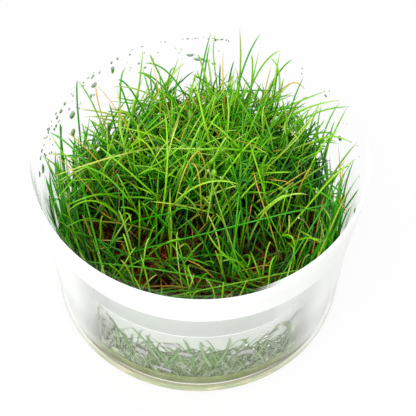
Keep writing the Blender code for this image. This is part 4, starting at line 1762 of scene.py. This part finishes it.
@dataclass
class PressedBlades:
    """Pale wet blades along the front wall, the tangle at the mat's side, and the air between them."""

    cup: CultureCup
    width: float = 1.5 * MM
    tangle: int = 340
    seed: int = 21

    def blades(self) -> None:
        """Models the blades that stand out."""
        rng = random.Random(self.seed)
        strokes = WallStrokes(self.cup, 0.3 * MM)
        lines = [strokes.line(*blade) for blade in PRESSED_BLADES]
        widths = [self.width * rng.uniform(0.7, 1.2) for _ in lines]
        tones = [rng.uniform(0.0, 0.8) for _ in lines]
        finish = BlurredFinish("pressed_blade", srgb(140, 180, 112), srgb(184, 210, 164), 0.7)
        strokes.lay("pressed_blades", Slot.GREEN, lines, widths, tones, finish)

    def roots(self) -> None:
        """Models the tangle, densest and darkest in the middle of the front."""
        rng = random.Random(self.seed + 1)
        strokes = WallStrokes(self.cup, 0.36 * MM)
        lines, widths, tones = [], [], []
        for _ in range(self.tangle):
            bearing, height = rng.triangular(-148, -34, -88), rng.triangular(4, 16, 9)
            sweep, climb = rng.choice((-1, 1)) * rng.uniform(2, 14), rng.triangular(0, 20, 6)
            middle = (bearing + sweep * 0.4, height + climb * rng.uniform(0.5, 0.8))
            lines.append(strokes.line((bearing, height), middle, (bearing + sweep, height + climb)))
            widths.append(self.width * rng.uniform(0.35, 0.85))
            tones.append(min(abs(bearing + 88) / 80 + rng.uniform(-0.3, 0.8), 1))
        finish = BlurredFinish("wet_tangle", srgb(154, 186, 120), srgb(234, 243, 220), 0.4)
        strokes.lay("wet_tangle", Slot.GREEN, lines, widths, tones, finish)

    def air(self) -> None:
        """Models the air trapped between the blades."""
        strokes = WallStrokes(self.cup, 0.2 * MM)
        lines = [strokes.line(*row[:3]) for row in AIR_PATCHES]
        widths = [row[3] * MM for row in AIR_PATCHES]
        finish = BlurredFinish("trapped_air", srgb(242, 246, 238), srgb(250, 252, 246), 0.45)
        strokes.lay("trapped_air", Slot.CUP, lines, widths, [0.5] * len(lines), finish)

    def smears(self) -> None:
        """Models the green haze over the mat's side."""
        rng = random.Random(self.seed + 2)
        strokes = WallStrokes(self.cup, 0.42 * MM)
        lines, widths, tones = [], [], []
        for bearing in range(-146, -32, 3):
            height, sweep = rng.triangular(8, 25, 12), rng.uniform(4, 8)
            low, high = (bearing - sweep, height - 2), (bearing + sweep, height + 2)
            lines.append(strokes.line(low, (bearing, height), high))
            widths.append(rng.uniform(3, 6) * MM)
            tones.append(rng.random())
        finish = BlurredFinish("wet_smear", srgb(202, 220, 180), srgb(220, 232, 208), 0.26)
        strokes.lay("wet_smears", Slot.GREEN, lines, widths, tones, finish)

    def build(self) -> None:
        """Models all that shows through the front wall."""
        self.blades()
        self.roots()
        self.air()
        self.smears()


# Drops that stand out on the wall: bearing in degrees, then height, width and length in mm
NOTED_DROPS = (
    (135, 49.3, 2.4, 2.0), (126, 51.5, 1.5, 3.6), (154, 52.0, 1.7, 1.5), (149, 47.5, 2.6, 3.0),
    (150, 40.7, 2.2, 3.6), (157, 51.7, 1.3, 1.3), (151, 52.6, 1.2, 1.4), (177, 49.9, 1.7, 4.4),
    (-176, 54.0, 1.2, 2.8), (164, 53.1, 1.3, 1.2), (95, 47.7, 2.6, 1.3), (92, 46.9, 3.0, 1.5),
    (89, 46.1, 2.4, 1.2), (86, 44.9, 1.6, 1.0), (24, 45.7, 1.8, 2.2), (-16, 53.5, 1.4, 2.6),
    (38, 51.7, 1.2, 1.0), (113, 46.3, 1.2, 0.9), (115, 47.9, 1.0, 0.9),
)


@dataclass(frozen=True)
class DropRun:
    """A run of drops along the wall."""

    bearings: Range
    height: float
    spread: float
    count: int
    width: Range


DROP_RUNS = (
    DropRun((78, 118), 54.1 * MM, 0.25 * MM, 26, (0.35 * MM, 0.9 * MM)),
    DropRun((118, 178), 52.6 * MM, 1.2 * MM, 34, (0.35 * MM, 1.1 * MM)),
    DropRun((128, 172), 47.6 * MM, 2.2 * MM, 26, (0.35 * MM, 1.3 * MM)),
    DropRun((84, 124), 48.5 * MM, 3.0 * MM, 18, (0.3 * MM, 0.7 * MM)),
    DropRun((-10, 60), 51.0 * MM, 4.0 * MM, 12, (0.3 * MM, 0.7 * MM)),
)


@dataclass
class Drops:
    """Condensation on the inside wall at the back and the sides, and bubbles behind the front wall."""

    cup: CultureCup
    off_wall: float = 0.03 * MM
    under_rim: float = 0.5 * MM
    fullness: float = 0.32
    bubbles: int = 11
    bubbles_at: Range = (-65, 24 * MM)
    bubbles_within: Range = (4, 2.5 * MM)
    bubble_width: Range = (0.3 * MM, 1.5 * MM)
    bubble_length: Range = (0.3 * MM, 0.9 * MM)
    seed: int = 8

    def master(self) -> tuple[np.ndarray, list]:
        """Models one drop: a half ball of unit size with a flat back."""
        deselect()
        bpy.ops.mesh.primitive_uv_sphere_add(segments=12, ring_count=8, radius=1)
        with editing():
            bpy.ops.mesh.bisect(plane_co=(0, 0, 0), plane_no=(0, 0, 1), clear_inner=True, use_fill=True)
        drop = bpy.context.object
        outward(drop)
        points = np.array([tuple(v.co) for v in drop.data.vertices])
        faces = [tuple(face.vertices) for face in drop.data.polygons]
        bpy.data.objects.remove(drop)
        return points, faces

    def placed(self) -> Iterator[tuple[float, float, float, float]]:
        """Each drop's bearing, height, width and length."""
        rng = random.Random(self.seed)
        for bearing, height, width, length in NOTED_DROPS:
            yield bearing, height * MM, width * MM, length * MM
        for run in DROP_RUNS:
            for _ in range(run.count):
                width = rng.triangular(*run.width, run.width[0])
                height = run.height + rng.uniform(-1, 1) * run.spread
                yield rng.uniform(*run.bearings), height, width, width * rng.uniform(0.8, 1.7)
        for _ in range(self.bubbles):
            bearing, height = (rng.gauss(*spot) for spot in zip(self.bubbles_at, self.bubbles_within))
            yield bearing, height, rng.uniform(*self.bubble_width), rng.uniform(*self.bubble_length)

    def build(self) -> None:
        """Models all the drops as one piece."""
        master, faces = self.master()
        points, all_faces = [], []
        for bearing, height, width, length in self.placed():
            height = min(height, self.cup.height - length / 2 - self.under_rim)
            turn = math.radians(bearing)
            inward = np.array((-math.cos(turn), -math.sin(turn), 0))
            along = np.array((-math.sin(turn), math.cos(turn), 0))
            drop = master.copy()
            drop[:, 1] *= 1 - 0.25 * drop[:, 1]
            centre = np.array(on_wall(self.cup, bearing, height - length / 2, self.off_wall + 0.03 * width))
            shape = along * drop[:, :1] * width / 2 + np.array((0, 0, 1)) * drop[:, 1:2] * length / 2
            all_faces += [tuple(v + len(points) * len(master) for v in face) for face in faces]
            points.append(centre + shape + inward * drop[:, 2:] * min(width, length) * self.fullness)
        data = bpy.data.meshes.new("condensation_drops")
        data.from_pydata(np.concatenate(points).tolist(), [], all_faces)
        piece = linked("condensation_drops", data)
        # Painted shade and reflection: the clear drops are tinted grey-green
        data.materials.append(WaterFinish("drop_water", srgb(176, 190, 176), 1.0).material())
        smooth_by_angle(piece, 50)
        settle(piece, Slot.CUP)


# Setting


@dataclass
class Studio:
    """The camera at the photograph's angle, the pale floor and soft light."""

    distance: float = 585 * MM
    elevation: float = 56.5
    roll: float = -1.5
    aim: tuple[float, float, float] = (2.3 * MM, 2.4 * MM, 30.0 * MM)
    focal_pixels: float = 2121.0
    image_pixels: float = 416.0
    floor_size: float = 4.0
    floor_grey: float = 0.86
    floor_glow: float = 0.92
    daylight: float = 0.93
    lamp_place: Vector = Vector((-0.25, -0.4, 0.65))
    lamp_size: float = 0.5
    lamp_power: float = 2.3

    def camera(self) -> None:
        """Sets up the camera."""
        data = bpy.data.cameras.new("camera")
        data.sensor_fit = "HORIZONTAL"
        data.sensor_width = 36.0
        data.lens = self.focal_pixels / self.image_pixels * data.sensor_width
        data.clip_start = 0.05
        camera = linked("camera", data)
        tilt = math.radians(self.elevation)
        back = Vector((0, -math.cos(tilt), math.sin(tilt)))
        upright = Matrix.Rotation(math.pi / 2 - tilt, 4, "X")
        turn = Matrix.Rotation(math.radians(-self.roll), 4, back)
        camera.matrix_world = Matrix.Translation(Vector(self.aim) + back * self.distance) @ turn @ upright
        bpy.context.scene.camera = camera

    @staticmethod
    def backdrop_rays(tree: bpy.types.NodeTree) -> Socket:
        """1 for what the camera sees, straight or by gloss or through clear things, and else 0."""
        path = tree.nodes.new("ShaderNodeLightPath")
        total = path.outputs["Is Camera Ray"]
        for name in ("Is Glossy Ray", "Is Transmission Ray"):
            node = tree.nodes.new("ShaderNodeMath")
            node.operation = "MAXIMUM"
            tree.links.new(total, node.inputs[0])
            tree.links.new(path.outputs[name], node.inputs[1])
            total = node.outputs[0]
        return total

    def floor(self) -> None:
        """Lays the white floor, which keeps a faint shadow."""
        deselect()
        bpy.ops.mesh.primitive_plane_add(size=self.floor_size)
        floor = named("floor")
        shader = Shader("floor_white")
        tree = shader.tree
        diffuse = shader.node("BsdfDiffuse", {"Color": (*grey(self.floor_grey), 1)})
        glow = shader.node("Emission", {"Color": (1, 1, 1, 1), "Strength": 1.0})
        share = shader.times(self.backdrop_rays(tree), self.floor_glow)
        mixed = shader.node("MixShader", {0: share, 1: diffuse.outputs[0], 2: glow.outputs[0]})
        tree.links.new(mixed.outputs[0], tree.nodes["Material Output"].inputs["Surface"])
        floor.data.materials.append(shader.material)
        floor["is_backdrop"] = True

    def light(self) -> None:
        """Sets the even white surroundings and one soft lamp overhead."""
        world = bpy.data.worlds.new("studio")
        bpy.context.scene.world = world
        world.use_nodes = True
        tree = world.node_tree
        background = tree.nodes["Background"]
        background.inputs["Color"].default_value = (1, 1, 1, 1)
        strength = tree.nodes.new("ShaderNodeMath")
        strength.operation = "MULTIPLY_ADD"
        tree.links.new(self.backdrop_rays(tree), strength.inputs[0])
        strength.inputs[1].default_value = 1 - self.daylight
        strength.inputs[2].default_value = self.daylight
        tree.links.new(strength.outputs[0], background.inputs["Strength"])
        lamp = bpy.data.lights.new("overhead", "AREA")
        lamp.size = self.lamp_size
        lamp.energy = self.lamp_power
        lamp_object = linked("overhead", lamp)
        lamp_object.location = self.lamp_place
        lamp_object.rotation_euler = (-self.lamp_place).to_track_quat("-Z", "Y").to_euler()
        bpy.context.scene.view_settings.view_transform = "Standard"

    def build(self) -> None:
        """Sets up camera, floor and light."""
        self.camera()
        self.floor()
        self.light()


def corners() -> list[list[float]]:
    """The shown object's lowest and highest corner."""
    return [list(corner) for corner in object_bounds()]


def main() -> None:
    """Builds the studio and every piece."""
    logging.basicConfig(level=logging.INFO, format="%(message)s")
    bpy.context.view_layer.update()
    Studio().build()
    cup = CultureCup()
    cup.build()
    CultureGel(cup).build()
    Mist(cup).build()
    ground = RootMat(cup)
    ground.body()
    ground.felt()
    plantlets = Plantlets(Canopy(cup), ground)
    plantlets.build()
    StandingLeaves(plantlets.perches).build()
    PressedBlades(cup).build()
    Drops(cup).build()


if __name__ == "__main__":
    main()
